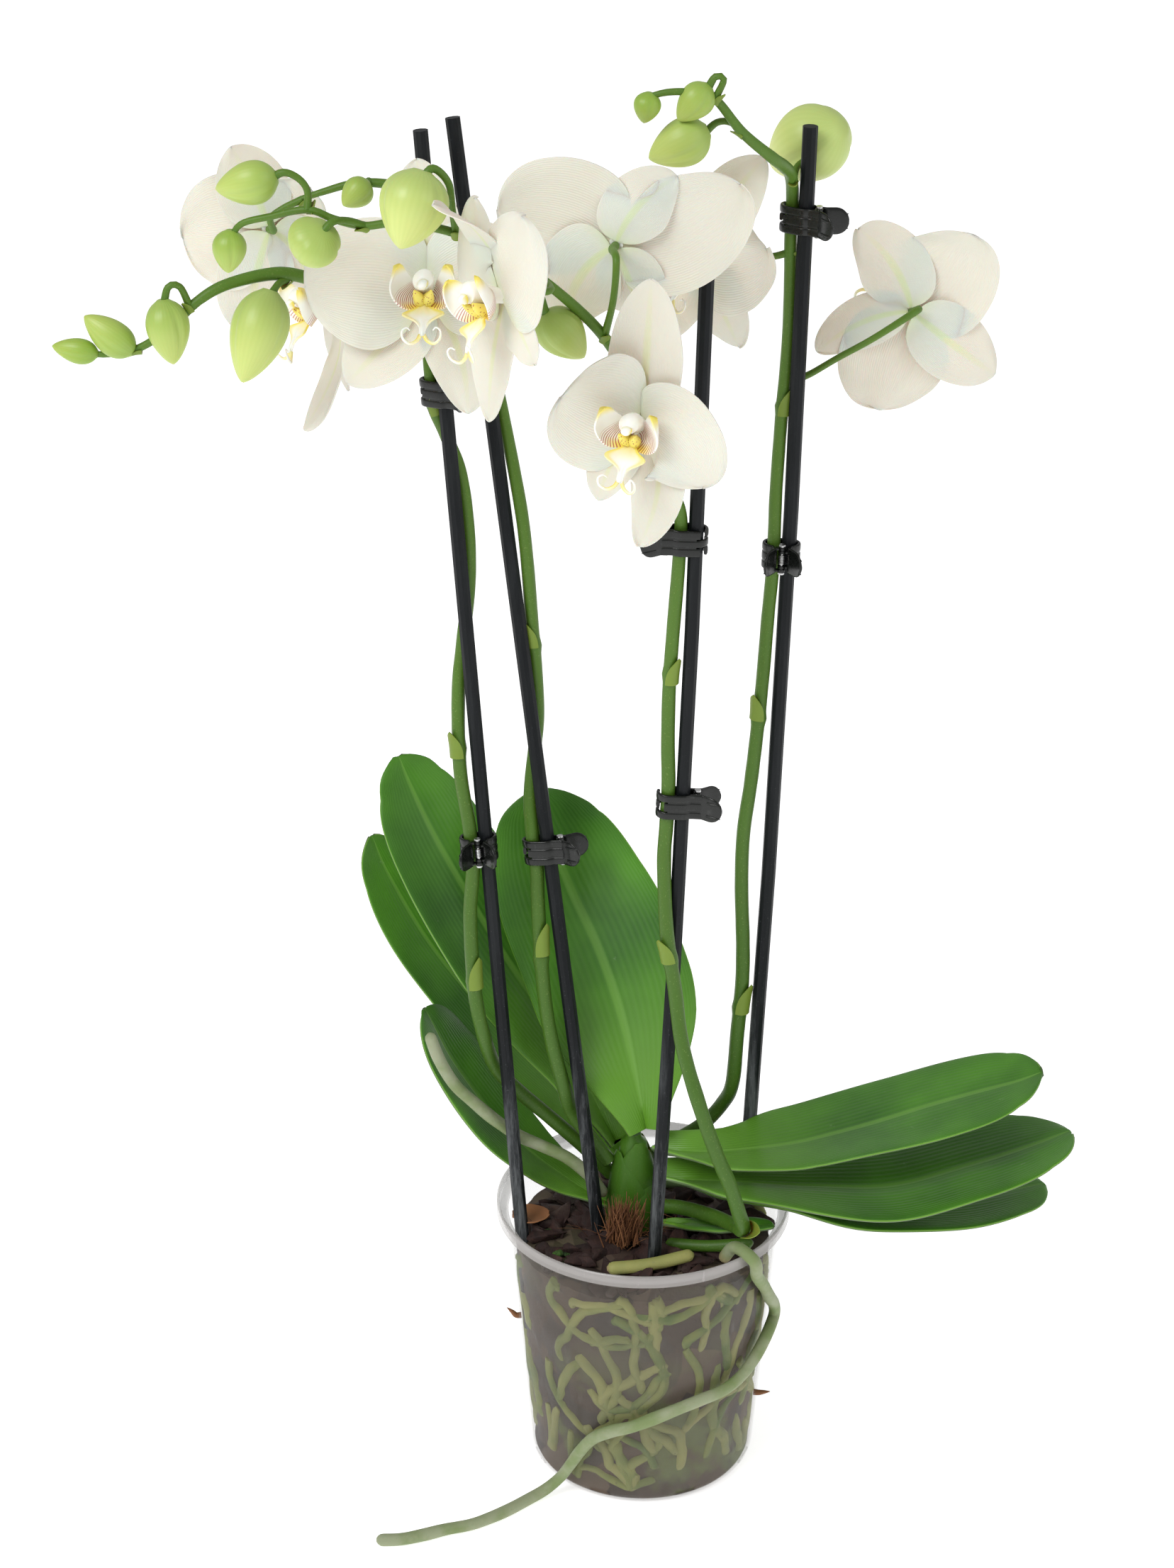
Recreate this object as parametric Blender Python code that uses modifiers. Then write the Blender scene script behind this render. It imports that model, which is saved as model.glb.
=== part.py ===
"""Potted moth orchid: clear pot, bark, four staked flower spikes held by spring clips, leaves and roots.

All sizes are in millimetres. Heights in the routes are measured up from the top of the bark.
X runs to the right, Y to the back and Z up, and the origin is the centre of the pot's underside.
"""

import math

import bmesh
import bpy
from mathutils import Matrix, Vector

MM = 0.001

# Driving sizes.
POT_HEIGHT = 122.0
POT_SHOULDER_RADIUS = 56.0
POT_RIM_RADIUS = POT_SHOULDER_RADIUS + 4.0
POT_BASE_RADIUS = 46.8
POT_WALL = 0.8
POT_RIM_WALL = 1.2
POT_FLANGE = 5.4
POT_CORNER = 7.0
POT_FOOT = 1.2
POT_FLOOR = 2.0
POT_STEPS = 36
SLOT_COUNT = 8
SLOT_WIDTH = 9.0
SLOT_HEIGHT = 2.6
BARK_BELOW_RIM = 12.0
BARK_ROUGHNESS = 2.6
CLEARANCE = 0.3

STAKE_DIAMETER = 5.7
STAKE_DEPTH = 45.0
STEM_RADIUS_LOW = 2.6
STEM_RADIUS_HIGH = 1.9
STEM_RADIUS_TIP = 1.1
PEDICEL_RADIUS = 1.3
CROWN_RADIUS = 8.5
CROWN_HEIGHT = 38.0
CROWN_DEPTH = 20.0
LEAF_THICKNESS = 2.2
ROOT_RADIUS = 2.5

FLOWER_RING = 4.0
FLOWER_THICKNESS = 0.9

CLIP_HEIGHT = 10.5
CLIP_PLATE = 1.2
CLIP_SLACK = 0.35
CLIP_NECK = 2.8
CLIP_TAB_LENGTH = 7.5
CLIP_TAB_SPREAD = 4.0
CLIP_FINGER_GAP = 0.4
CLIP_EAR = 1.0
PIN_RADIUS = 0.8
PIN_HEAD_RADIUS = 1.3
PIN_HEAD_LENGTH = 0.7
SPRING_RADIUS = 1.5

SOIL = POT_HEIGHT - BARK_BELOW_RIM
CROWN = Vector((-4.0, 4.0, 0.0))


def material(name, colour, roughness, metallic=0.0, alpha=1.0):
    made = bpy.data.materials.new(name)
    made.use_nodes = True
    shader = made.node_tree.nodes["Principled BSDF"]
    shader.inputs["Base Color"].default_value = (*colour, 1.0)
    shader.inputs["Roughness"].default_value = roughness
    shader.inputs["Metallic"].default_value = metallic
    shader.inputs["Alpha"].default_value = alpha
    return made


def collection(name):
    made = bpy.data.collections.new(name)
    bpy.context.scene.collection.children.link(made)
    return made


def add(name, mesh, finish, matrix=None):
    """One named piece of the plant or its holder."""
    made = bpy.data.objects.new(name, mesh)
    if not mesh.materials:
        mesh.materials.append(finish)
    PARTS.objects.link(made)
    if matrix is not None:
        made.matrix_world = matrix
    return made


def mesh_from(shape, name):
    """A mesh from a bmesh in millimetres, in metres and shaded smooth."""
    bmesh.ops.scale(shape, vec=(MM, MM, MM), verts=shape.verts)
    bmesh.ops.recalc_face_normals(shape, faces=shape.faces)
    mesh = bpy.data.meshes.new(name)
    shape.to_mesh(mesh)
    shape.free()
    mesh.shade_smooth()
    mesh.set_sharp_from_angle(angle=math.radians(40))
    return mesh


def settled(source, name):
    """The evaluated mesh of an object as a new mesh in world space; the object is removed."""
    bpy.context.view_layer.update()
    graph = bpy.context.evaluated_depsgraph_get()
    mesh = bpy.data.meshes.new_from_object(source.evaluated_get(graph))
    mesh.transform(source.matrix_world)
    mesh.name = name
    bpy.data.objects.remove(source)
    shape = bmesh.new()
    shape.from_mesh(mesh)
    bmesh.ops.remove_doubles(shape, verts=shape.verts, dist=1e-6)
    shape.to_mesh(mesh)
    shape.free()
    return mesh


def helper(mesh, name):
    """A cutter or an operand, which is no part of the object."""
    made = bpy.data.objects.new(name, mesh)
    CUTTERS.objects.link(made)
    made.hide_render = True
    made.display_type = "WIRE"
    return made


def combined(first, others, operation, name, solver="EXACT"):
    """The solid that is left when a Boolean takes each of the others into or out of the first mesh."""
    base = helper(first, name)
    operands = [helper(mesh, name + "_operand") for mesh in others]
    for operand in operands:
        step = base.modifiers.new(operation.lower(), "BOOLEAN")
        step.operation = operation
        step.solver = solver
        step.use_self = operation == "UNION" and solver == "EXACT"
        step.object = operand
    mesh = settled(base, name)
    for operand in operands:
        bpy.data.objects.remove(operand)
    return mesh


def solidified(shape, thickness, name):
    """A closed shell around an open surface given in millimetres."""
    base = helper(mesh_from(shape, name), name)
    shell = base.modifiers.new("thickness", "SOLIDIFY")
    shell.thickness = thickness * MM
    shell.offset = 0.0
    return settled(base, name)


def turned(profile, steps, name):
    """A solid of revolution about Z from (radius, height) pairs, inner side up and outer side down."""
    mesh = bpy.data.meshes.new(name)
    points = [(radius * MM, 0.0, height * MM) for radius, height in profile]
    mesh.from_pydata(points, [(i, i + 1) for i in range(len(points) - 1)], [])
    base = helper(mesh, name)
    screw = base.modifiers.new("turn", "SCREW")
    screw.steps = steps
    screw.render_steps = steps
    screw.use_merge_vertices = True
    screw.merge_threshold = 1e-5
    made = settled(base, name)
    made.shade_smooth()
    made.set_sharp_from_angle(angle=math.radians(35))
    return made


def smooth_route(points, step):
    """Evenly spaced points on a smooth curve through the given ones; step may depend on the point."""
    ends = [points[0] * 2 - points[1]] + list(points) + [points[-1] * 2 - points[-2]]
    fine = []
    for before, start, end, after in zip(ends, ends[1:], ends[2:], ends[3:]):
        for part in range(20):
            t = part / 20
            fine.append(
                0.5 * (2 * start + (end - before) * t + (2 * before - 5 * start + 4 * end - after) * t**2
                       + (3 * start - before - 3 * end + after) * t**3)
            )
    fine.append(points[-1].copy())
    route = [fine[0]]
    travelled = 0.0
    for start, end in zip(fine, fine[1:]):
        travelled += (end - start).length
        if travelled >= step(end):
            route.append(end)
            travelled = 0.0
    if (route[-1] - fine[-1]).length < 0.5 * step(fine[-1]) and len(route) > 2:
        route.pop()
    route.append(fine[-1])
    return route


def tube(points, radii, name, resolution=2):
    """A closed round tube along millimetre points, with a radius in millimetres at each."""
    curve = bpy.data.curves.new(name, "CURVE")
    curve.dimensions = "3D"
    curve.bevel_depth = MM
    curve.bevel_resolution = resolution
    curve.use_fill_caps = True
    line = curve.splines.new("POLY")
    line.points.add(len(points) - 1)
    for knot, point, radius in zip(line.points, points, radii):
        knot.co = (*(point * MM), 1.0)
        knot.radius = radius
    base = bpy.data.objects.new(name, curve)
    CUTTERS.objects.link(base)
    mesh = settled(base, name)
    mesh.shade_smooth()
    mesh.set_sharp_from_angle(angle=math.radians(50))
    return mesh


def pot_radius(height):
    """Outside radius of the pot's tapered wall."""
    share = (height - POT_CORNER) / (POT_HEIGHT - POT_FLANGE - POT_CORNER)
    return POT_BASE_RADIUS + (POT_SHOULDER_RADIUS - POT_BASE_RADIUS) * min(max(share, 0.0), 1.0)


def corner(radius, inset, count=3):
    """Points round the pot's bottom corner, from its side to its base."""
    centre = POT_BASE_RADIUS - POT_CORNER
    angles = [math.radians(90 * i / count) for i in range(count + 1)]
    return [
        (centre + (POT_CORNER - inset) * math.cos(a), POT_CORNER - (POT_CORNER - inset) * math.sin(a))
        for a in angles
    ]


def make_pot():
    flange = POT_HEIGHT - POT_FLANGE
    inner = list(reversed(corner(POT_BASE_RADIUS, POT_WALL)))
    foot_inner = POT_BASE_RADIUS - POT_CORNER - 4.0
    boss = 14.0
    profile = [(0.0, POT_FLOOR), (foot_inner, POT_FLOOR), *inner]
    profile += [
        (POT_SHOULDER_RADIUS - POT_WALL, flange + POT_WALL),
        (POT_RIM_RADIUS - POT_RIM_WALL, flange + POT_WALL),
        (POT_RIM_RADIUS - POT_RIM_WALL, POT_HEIGHT),
        (POT_RIM_RADIUS, POT_HEIGHT),
        (POT_RIM_RADIUS, flange),
        (POT_SHOULDER_RADIUS, flange),
    ]
    profile += corner(POT_BASE_RADIUS, 0.0)
    profile += [(foot_inner + 1.0, 0.0), (foot_inner, POT_FOOT), (boss + 1.0, POT_FOOT), (boss, 0.0), (0.0, 0.0)]
    slots = []
    for index in range(SLOT_COUNT):
        slot = bmesh.new()
        bmesh.ops.create_cube(slot, size=1.0)
        bmesh.ops.scale(slot, vec=(3 * POT_CORNER, SLOT_WIDTH, SLOT_HEIGHT), verts=slot.verts)
        turn = Matrix.Rotation(math.tau * (index + 0.5) / SLOT_COUNT, 4, "Z")
        place = turn @ Matrix.Translation((POT_BASE_RADIUS + 0.75 * POT_CORNER, 0.0, 0.75 * POT_CORNER))
        bmesh.ops.transform(slot, matrix=place, verts=slot.verts)
        slots.append(mesh_from(slot, "slot"))
    pot = combined(turned(profile, POT_STEPS, "pot"), slots, "DIFFERENCE", "pot")
    add("pot", pot, CLEAR_PLASTIC)


def stake_point(stake, height):
    """Centre of a stake at a height above the bark."""
    share = height / stake["top"].z
    bend = math.sin(math.pi * min(max(share, 0.0), 1.0)) * stake["bow"]
    return stake["foot"].lerp(Vector((stake["top"].x, stake["top"].y, stake["top"].z)), share) + Vector((bend, 0, 0))


def on_bark(point):
    return Vector((point[0], point[1], point[2] + SOIL))


def beside(stake, height, angle, gap=0.5, radius=STEM_RADIUS_LOW):
    """A stem's centre beside a stake: the gap is between their surfaces, and 0 degrees is towards +X."""
    reach = STAKE_DIAMETER / 2 + radius + gap
    turn = math.radians(angle)
    return stake_point(stake, height) + Vector((math.cos(turn), math.sin(turn), 0)) * reach


def inside_wall(angle, depth):
    """A point on the bark, at a depth inwards from the pot's inner wall."""
    radius = pot_radius(SOIL) - POT_WALL - depth
    turn = math.radians(angle)
    return Vector((radius * math.cos(turn), radius * math.sin(turn), 0.0))


def make_stakes():
    for name, stake in STAKES.items():
        heights = [-STAKE_DEPTH, 0.0, 0.33 * stake["top"].z, 0.67 * stake["top"].z, stake["top"].z]
        points = [on_bark(stake_point(stake, height)) for height in heights]
        radii = [STAKE_DIAMETER / 2] * len(points)
        add(name, tube(points, radii, name, resolution=3), STAKE_PLASTIC)


def make_bark():
    """The bark fills the pot, with a hole for each stake and for the orchid's short stem."""
    rings = [44.0, 31.0, 17.0]
    lift = CLEARANCE + POT_WALL
    profile = [(0.0, SOIL), *[(pot_radius(SOIL) * r / 56.0, SOIL) for r in reversed(rings)]]
    flat = math.cos(math.pi / POT_STEPS)
    profile += [((pot_radius(SOIL) - POT_WALL) * flat - CLEARANCE, SOIL)]
    centre = POT_BASE_RADIUS - POT_CORNER
    profile += [
        (centre + (POT_CORNER - lift) * math.cos(a), POT_CORNER - (POT_CORNER - lift) * math.sin(a))
        for a in (0.0, math.pi / 4)
    ]
    profile += [(centre - 4.0, POT_FLOOR + CLEARANCE), (0.0, POT_FLOOR + CLEARANCE)]
    bark = turned(profile, 26, "bark_medium")
    for vertex in bark.vertices:
        x, y, z = vertex.co / MM
        if z > SOIL - 0.1 and math.hypot(x, y) < pot_radius(SOIL) - 2.0:
            lump = 0.5 + 0.25 * math.sin(0.31 * x + 1.3) + 0.25 * math.sin(0.27 * y - 0.17 * x)
            vertex.co.z -= BARK_ROUGHNESS * lump * MM
    holes = []
    for stake in STAKES.values():
        heights = [-STAKE_DEPTH - CLEARANCE, 0.0, 12.0]
        points = [on_bark(stake_point(stake, height)) for height in heights]
        holes.append(tube(points, [STAKE_DIAMETER / 2 + CLEARANCE] * len(points), "hole", resolution=3))
    points, radii = crown_route(CLEARANCE)
    holes.append(tube(points, radii, "hole", resolution=3))
    add("bark_medium", combined(bark, holes, "DIFFERENCE", "bark_medium"), BARK)


def crown_route(allowance):
    heights = [-CROWN_DEPTH - allowance, 0.0, 0.6 * CROWN_HEIGHT, CROWN_HEIGHT]
    shares = [0.7, 1.0, 0.85, 0.4]
    points = [on_bark(CROWN + Vector((0, 0, height))) for height in heights]
    return points, [CROWN_RADIUS * share + allowance for share in shares]


def make_crown():
    points, radii = crown_route(0.0)
    add("crown_stem", tube(points, radii, "crown_stem", resolution=3), STEM_GREEN)


def leaf_half_width(share, width, belly):
    """A leaf is narrow where it clasps the stem, broad from its belly onwards and round at its tip."""
    neck = 0.30 + 0.70 * math.sin(0.5 * math.pi * min(share / belly, 1.0)) ** 1.3
    tip = math.sqrt(max(1.0 - max((share - belly) / (1.01 - belly), 0.0) ** 3.0, 0.0))
    return 0.5 * width * neck * tip


def make_leaf(name, midrib, across, width, fold, belly, columns=4, rows=9):
    """A thick leaf: a grid along its midrib whose edges rise by the fold angle, made solid."""
    route = smooth_route([on_bark(point) for point in midrib], lambda point: 1.5)
    side = Vector(across).normalized()
    shape = bmesh.new()
    grid = []
    for row in range(rows + 1):
        share = row / rows
        place = share * (len(route) - 1)
        index = min(int(place), len(route) - 2)
        centre = route[index].lerp(route[index + 1], place - index)
        along = (route[min(index + 2, len(route) - 1)] - route[max(index - 2, 0)]).normalized()
        flat = (side - along * side.dot(along)).normalized()
        up = flat.cross(along)
        if up.z < 0:
            up.negate()
        half = max(leaf_half_width(share, width, belly), 1.6)
        angle = math.radians(fold * (1.0 - 0.6 * share))
        line = []
        for column in range(columns + 1):
            reach = 2.0 * column / columns - 1.0
            rise = abs(reach) * half * math.sin(angle)
            line.append(shape.verts.new(centre + flat * (reach * half * math.cos(angle)) + up * rise))
        grid.append(line)
    for near, far in zip(grid, grid[1:]):
        for column in range(columns):
            shape.faces.new((near[column], near[column + 1], far[column + 1], far[column]))
    add(name, solidified(shape, LEAF_THICKNESS, name), LEAF_GREEN)


def make_leaves():
    for name, (midrib, across, width, fold, belly) in LEAVES.items():
        make_leaf(name, [Vector(point) for point in midrib], across, width, fold, belly)


def egg(base, tip, width):
    """A bud: an egg from where its stalk joins to its pointed tip."""
    shape = bmesh.new()
    bmesh.ops.create_uvsphere(shape, u_segments=8, v_segments=6, radius=1.0)
    axis = tip - base
    turn = axis.to_track_quat("Z", "Y").to_matrix()
    for vertex in shape.verts:
        share = 0.5 * (vertex.co.z + 1.0)
        fullness = 1.08 - 0.35 * share
        flat = Vector((vertex.co.x, vertex.co.y, 0.0)) * (0.5 * width * fullness)
        vertex.co = base + turn @ (flat + Vector((0, 0, share * axis.length)))
    return mesh_from(shape, "bud")


def nearest_on(points, spot):
    """The point of a route that is nearest to a spot."""
    best = points[0]
    for start, end in zip(points, points[1:]):
        along = end - start
        share = min(max((spot - start).dot(along) / along.length_squared, 0.0), 1.0)
        found = start + along * share
        if (found - spot).length < (best - spot).length:
            best = found
    return best


def stem_radius(point):
    """Stems thin from the bark to the first flowers, and again along the flowering part."""
    share = min(max((point.z - SOIL) / 380.0, 0.0), 1.0)
    return STEM_RADIUS_LOW + (STEM_RADIUS_HIGH - STEM_RADIUS_LOW) * share


def stem_step(point):
    return 19.0 if point.z < SOIL + 320.0 else 9.0


def make_spike(name, route, taper_from, stalks, buds):
    """One flower spike, grown as one piece: its stem, the stalk of each flower and bud, and the buds."""
    points = smooth_route([on_bark(point) for point in route], stem_step)
    radii = []
    tip_start = on_bark(route[taper_from])
    past = False
    tail = sum((b - a).length for a, b in zip(route[taper_from:], route[taper_from + 1:]))
    gone = 0.0
    for index, point in enumerate(points):
        past = past or (point - tip_start).length < 8.0
        if past:
            gone += (point - points[index - 1]).length
        share = min(gone / tail, 1.0)
        radii.append(stem_radius(point) * (1 - share) + STEM_RADIUS_TIP * share)
    stem = tube(points, radii, name)
    grown = []
    for stalk in stalks:
        knots = [on_bark(Vector(point)) for point in stalk]
        root = nearest_on(points, knots[0])
        if (root - knots[0]).length > 0.6 * stem_radius(root):
            knots.insert(0, root)
        line = smooth_route(knots, lambda point: 6.5)
        grown.append(tube(line, [PEDICEL_RADIUS] * len(line), "stalk", resolution=1))
    for base, tip, width in buds:
        grown.append(egg(on_bark(Vector(base)), on_bark(Vector(tip)), width))
    add(name, combined(stem, grown, "UNION", name), SPIKE_GREEN)


def flower_frame(flower):
    """The placing of a flower: X to its viewer's right, Y up its back sepal, Z the way it faces."""
    facing = Vector(flower["facing"]).normalized()
    up = Vector(flower["up"])
    up = (up - facing * up.dot(facing)).normalized()
    right = up.cross(facing)
    place = Matrix((right, up, facing)).transposed().to_4x4()
    place.translation = on_bark(Vector(flower["centre"]))
    return place


def tepal_half_width(share, width):
    """Half of a tepal's width at a share of its length; the broad ones are petals and the narrow ones sepals."""
    return 0.5 * width * max(4.0 * share**0.8 * (1.0 - share**0.8), 0.0) ** 0.5


def make_flower(name, flower):
    """Three sepals behind two broad petals, joined by a small hub, then the lip and column in front."""
    place = flower_frame(flower)
    inverse = place.inverted()
    blades = []
    for angle, (tip, width, bulge) in zip(TEPAL_ANGLES, flower["tepals"]):
        petal = angle in PETAL_ANGLES
        columns = 4 if width > 30 else 2
        turn = math.radians(angle)
        outward = Vector((math.cos(turn), math.sin(turn), 0.0))
        sideways = Vector((-outward.y, outward.x, 0.0))
        base = outward * FLOWER_RING + Vector((0.0, 0.0, 0.8 if petal else -0.8))
        end = inverse @ on_bark(Vector(tip))
        knee = base + outward * 0.45 * (end - base).length + Vector((0.0, 0.0, bulge))
        shape = bmesh.new()
        rows = []
        for share in TEPAL_ROWS:
            centre = base * (1 - share) ** 2 + knee * 2 * share * (1 - share) + end * share**2
            along = (knee - base) * (1 - share) + (end - knee) * share
            across = Vector((0.0, 0.0, 1.0)).cross(along).normalized().lerp(sideways, (1 - share) ** 3)
            half = 1.6 if share == 0.0 else tepal_half_width(share, width)
            rows.append([
                shape.verts.new(centre + across.normalized() * half * (2.0 * column / columns - 1.0))
                for column in range(columns + 1)
            ])
        for near, far in zip(rows, rows[1:]):
            for column in range(columns):
                shape.faces.new((near[column], near[column + 1], far[column + 1], far[column]))
        blades.append(solidified(shape, FLOWER_THICKNESS, "blade"))
    hub = bmesh.new()
    bmesh.ops.create_uvsphere(hub, u_segments=8, v_segments=4, radius=1.0)
    bmesh.ops.scale(hub, vec=(FLOWER_RING + 1.5, FLOWER_RING + 1.5, 1.15), verts=hub.verts)
    place.translation *= MM
    add(name + "_tepals", combined(mesh_from(hub, "hub"), blades, "UNION", name, "MANIFOLD"), PETAL_WHITE, place)
    add(name + "_lip", LIP, LIP_YELLOW, place)


def lip_mesh():
    """The column over a three-lobed lip: two side lobes that rise and a middle lobe that hangs forward."""
    lobes = [
        ((0.0, 2.2, 7.2), (2.6, 2.8, 4.8), 0.0),
        ((0.0, -2.4, 7.6), (5.4, 4.6, 5.0), 0.0),
        ((0.0, -8.5, 11.0), (5.0, 7.0, 2.6), -25.0),
        ((5.2, -2.0, 10.5), (2.6, 5.0, 5.0), 0.0),
        ((-5.2, -2.0, 10.5), (2.6, 5.0, 5.0), 0.0),
    ]
    made = []
    for centre, radii, pitch in lobes:
        shape = bmesh.new()
        bmesh.ops.create_uvsphere(shape, u_segments=7, v_segments=4, radius=1.0)
        tilt = Matrix.Rotation(math.radians(pitch), 4, "X")
        place = Matrix.Translation(centre) @ tilt @ Matrix.Diagonal((*radii, 1))
        bmesh.ops.transform(shape, matrix=place, verts=shape.verts)
        made.append(mesh_from(shape, "lobe"))
    return combined(made[0], made[1:], "UNION", "lip")


def jaw_path(near, far, spread, reach):
    """The middle of one jaw's plate seen along the pin: round the stem and stake, past the pin, out along its tab."""
    if spread > 0.0:
        path = [(far + reach, -1.2)]
        path += [(far + reach * math.cos(a), spread + reach * math.sin(a)) for a in map(math.radians, (0, 38, 75, 112))]
        path += [(near - 0.87 * reach, spread + 0.5 * reach), (near - reach, CLIP_NECK + 0.8)]
    else:
        path = [(far + reach * math.cos(a), reach * math.sin(a)) for a in map(math.radians, (-22, 12, 50, 90))]
        path += [(near, reach), (near - 0.71 * reach, 0.71 * reach)]
    path += [(-1.6, CLIP_NECK), (-1.6 - 0.5 * CLIP_TAB_LENGTH, CLIP_NECK + 0.6 * CLIP_TAB_SPREAD)]
    path += [(-1.6 - CLIP_TAB_LENGTH, CLIP_NECK + CLIP_TAB_SPREAD)]
    return path


def jaw_mesh(grip, outer):
    """One jaw of a spring clip. The outer jaw has two fingers and the inner one a single finger between."""
    sign = 1.0 if outer else -1.0
    half = 0.5 * CLIP_HEIGHT
    middle = half / 3 + (0.5 if outer else -0.5) * CLIP_FINGER_GAP
    levels = [-half, -middle, middle, half]
    shape = bmesh.new()
    path = jaw_path(*grip)
    grid = []
    for index, (x, y) in enumerate(path):
        shrink = 0.75 if index == len(path) - 1 else 1.0
        grid.append([shape.verts.new((x, sign * y, level * shrink)) for level in levels])
    for index, (near, far) in enumerate(zip(grid, grid[1:])):
        for band in range(3):
            is_finger = index < 2
            if is_finger and (band == 1) == outer:
                continue
            shape.faces.new((near[band], near[band + 1], far[band + 1], far[band]))
    for vertex in [v for v in shape.verts if not v.link_faces]:
        shape.verts.remove(vertex)
    plate = solidified(shape, CLIP_PLATE, "jaw")
    eye = PIN_RADIUS + CLEARANCE
    outside = half - 0.3 if outer else half - 0.3 - CLIP_EAR - CLIP_FINGER_GAP
    ears = []
    for side in (-1, 1):
        ear = bmesh.new()
        bmesh.ops.create_cube(ear, size=1.0)
        bmesh.ops.scale(ear, vec=(2.8, CLIP_NECK + 1.3, CLIP_EAR), verts=ear.verts)
        middle = Vector((0.0, sign * (0.5 * CLIP_NECK - 0.75), side * (outside - 0.5 * CLIP_EAR)))
        bmesh.ops.translate(ear, vec=middle, verts=ear.verts)
        ears.append(mesh_from(ear, "ear"))
    jaw = combined(plate, ears, "UNION", "jaw")
    hole = bmesh.new()
    bmesh.ops.create_cone(hole, cap_ends=True, segments=8, radius1=eye, radius2=eye, depth=2 * CLIP_HEIGHT)
    return combined(jaw, [mesh_from(hole, "hole")], "DIFFERENCE", "jaw")


def pin_mesh():
    """The hinge pin with a head at each end and the spring's coil round its middle."""
    half = 0.5 * CLIP_HEIGHT + PIN_HEAD_LENGTH + 0.1
    coil = 0.5 * CLIP_HEIGHT - 0.3 - 2 * CLIP_EAR - CLIP_FINGER_GAP - 0.6
    profile = [(0.0, half), (PIN_HEAD_RADIUS, half), (PIN_HEAD_RADIUS, half - PIN_HEAD_LENGTH)]
    profile += [(PIN_RADIUS, half - PIN_HEAD_LENGTH), (PIN_RADIUS, coil), (SPRING_RADIUS, coil)]
    profile += [(radius, -height) for radius, height in reversed(profile)]
    return turned(profile, 8, "pin")


def make_clips():
    """Each clip grips a stem and its stake. Its outer jaw stays, and its inner jaw turns on the pin."""
    stake_radius = STAKE_DIAMETER / 2
    widest = max(stake_radius, STEM_RADIUS_LOW)
    near = SPRING_RADIUS + 0.5 + CLIP_SLACK + widest
    apart = stake_radius + STEM_RADIUS_LOW + 0.5
    reach = widest + CLIP_SLACK + 0.5 * CLIP_PLATE
    grips = {"end": (near, near + apart, 0.0, reach), "side": (near, near, 0.5 * apart, reach)}
    jaws = {kind: (jaw_mesh(grip, True), jaw_mesh(grip, False)) for kind, grip in grips.items()}
    pin = pin_mesh()
    for name, (stake_name, height, angle, kind, turn) in CLIPS.items():
        stake = STAKES[stake_name]
        axis = (stake_point(stake, height + 5) - stake_point(stake, height - 5)).normalized()
        centre = on_bark(stake_point(stake, height))
        towards = Vector((math.cos(math.radians(angle)), math.sin(math.radians(angle)), 0.0))
        towards = (towards - axis * towards.dot(axis)).normalized()
        if kind == "end":
            forward = towards * turn
            pin_place = centre - forward * (near if turn > 0 else near + apart)
        else:
            forward = axis.cross(towards) * turn
            pin_place = centre + towards * 0.5 * apart - forward * near
        side = axis.cross(forward)
        place = Matrix((forward, side, axis)).transposed().to_4x4()
        place.translation = pin_place * MM
        outer, inner = jaws[kind]
        add(name + "_fixed_jaw", outer, CLIP_BLACK, place)
        add(name + "_moving_jaw", inner, CLIP_BLACK, place)
        add(name + "_pin", pin, PIN_STEEL, place)
        print("clip", name, [round(v * MM, 5) for v in pin_place], [round(-v, 5) for v in axis])


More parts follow.
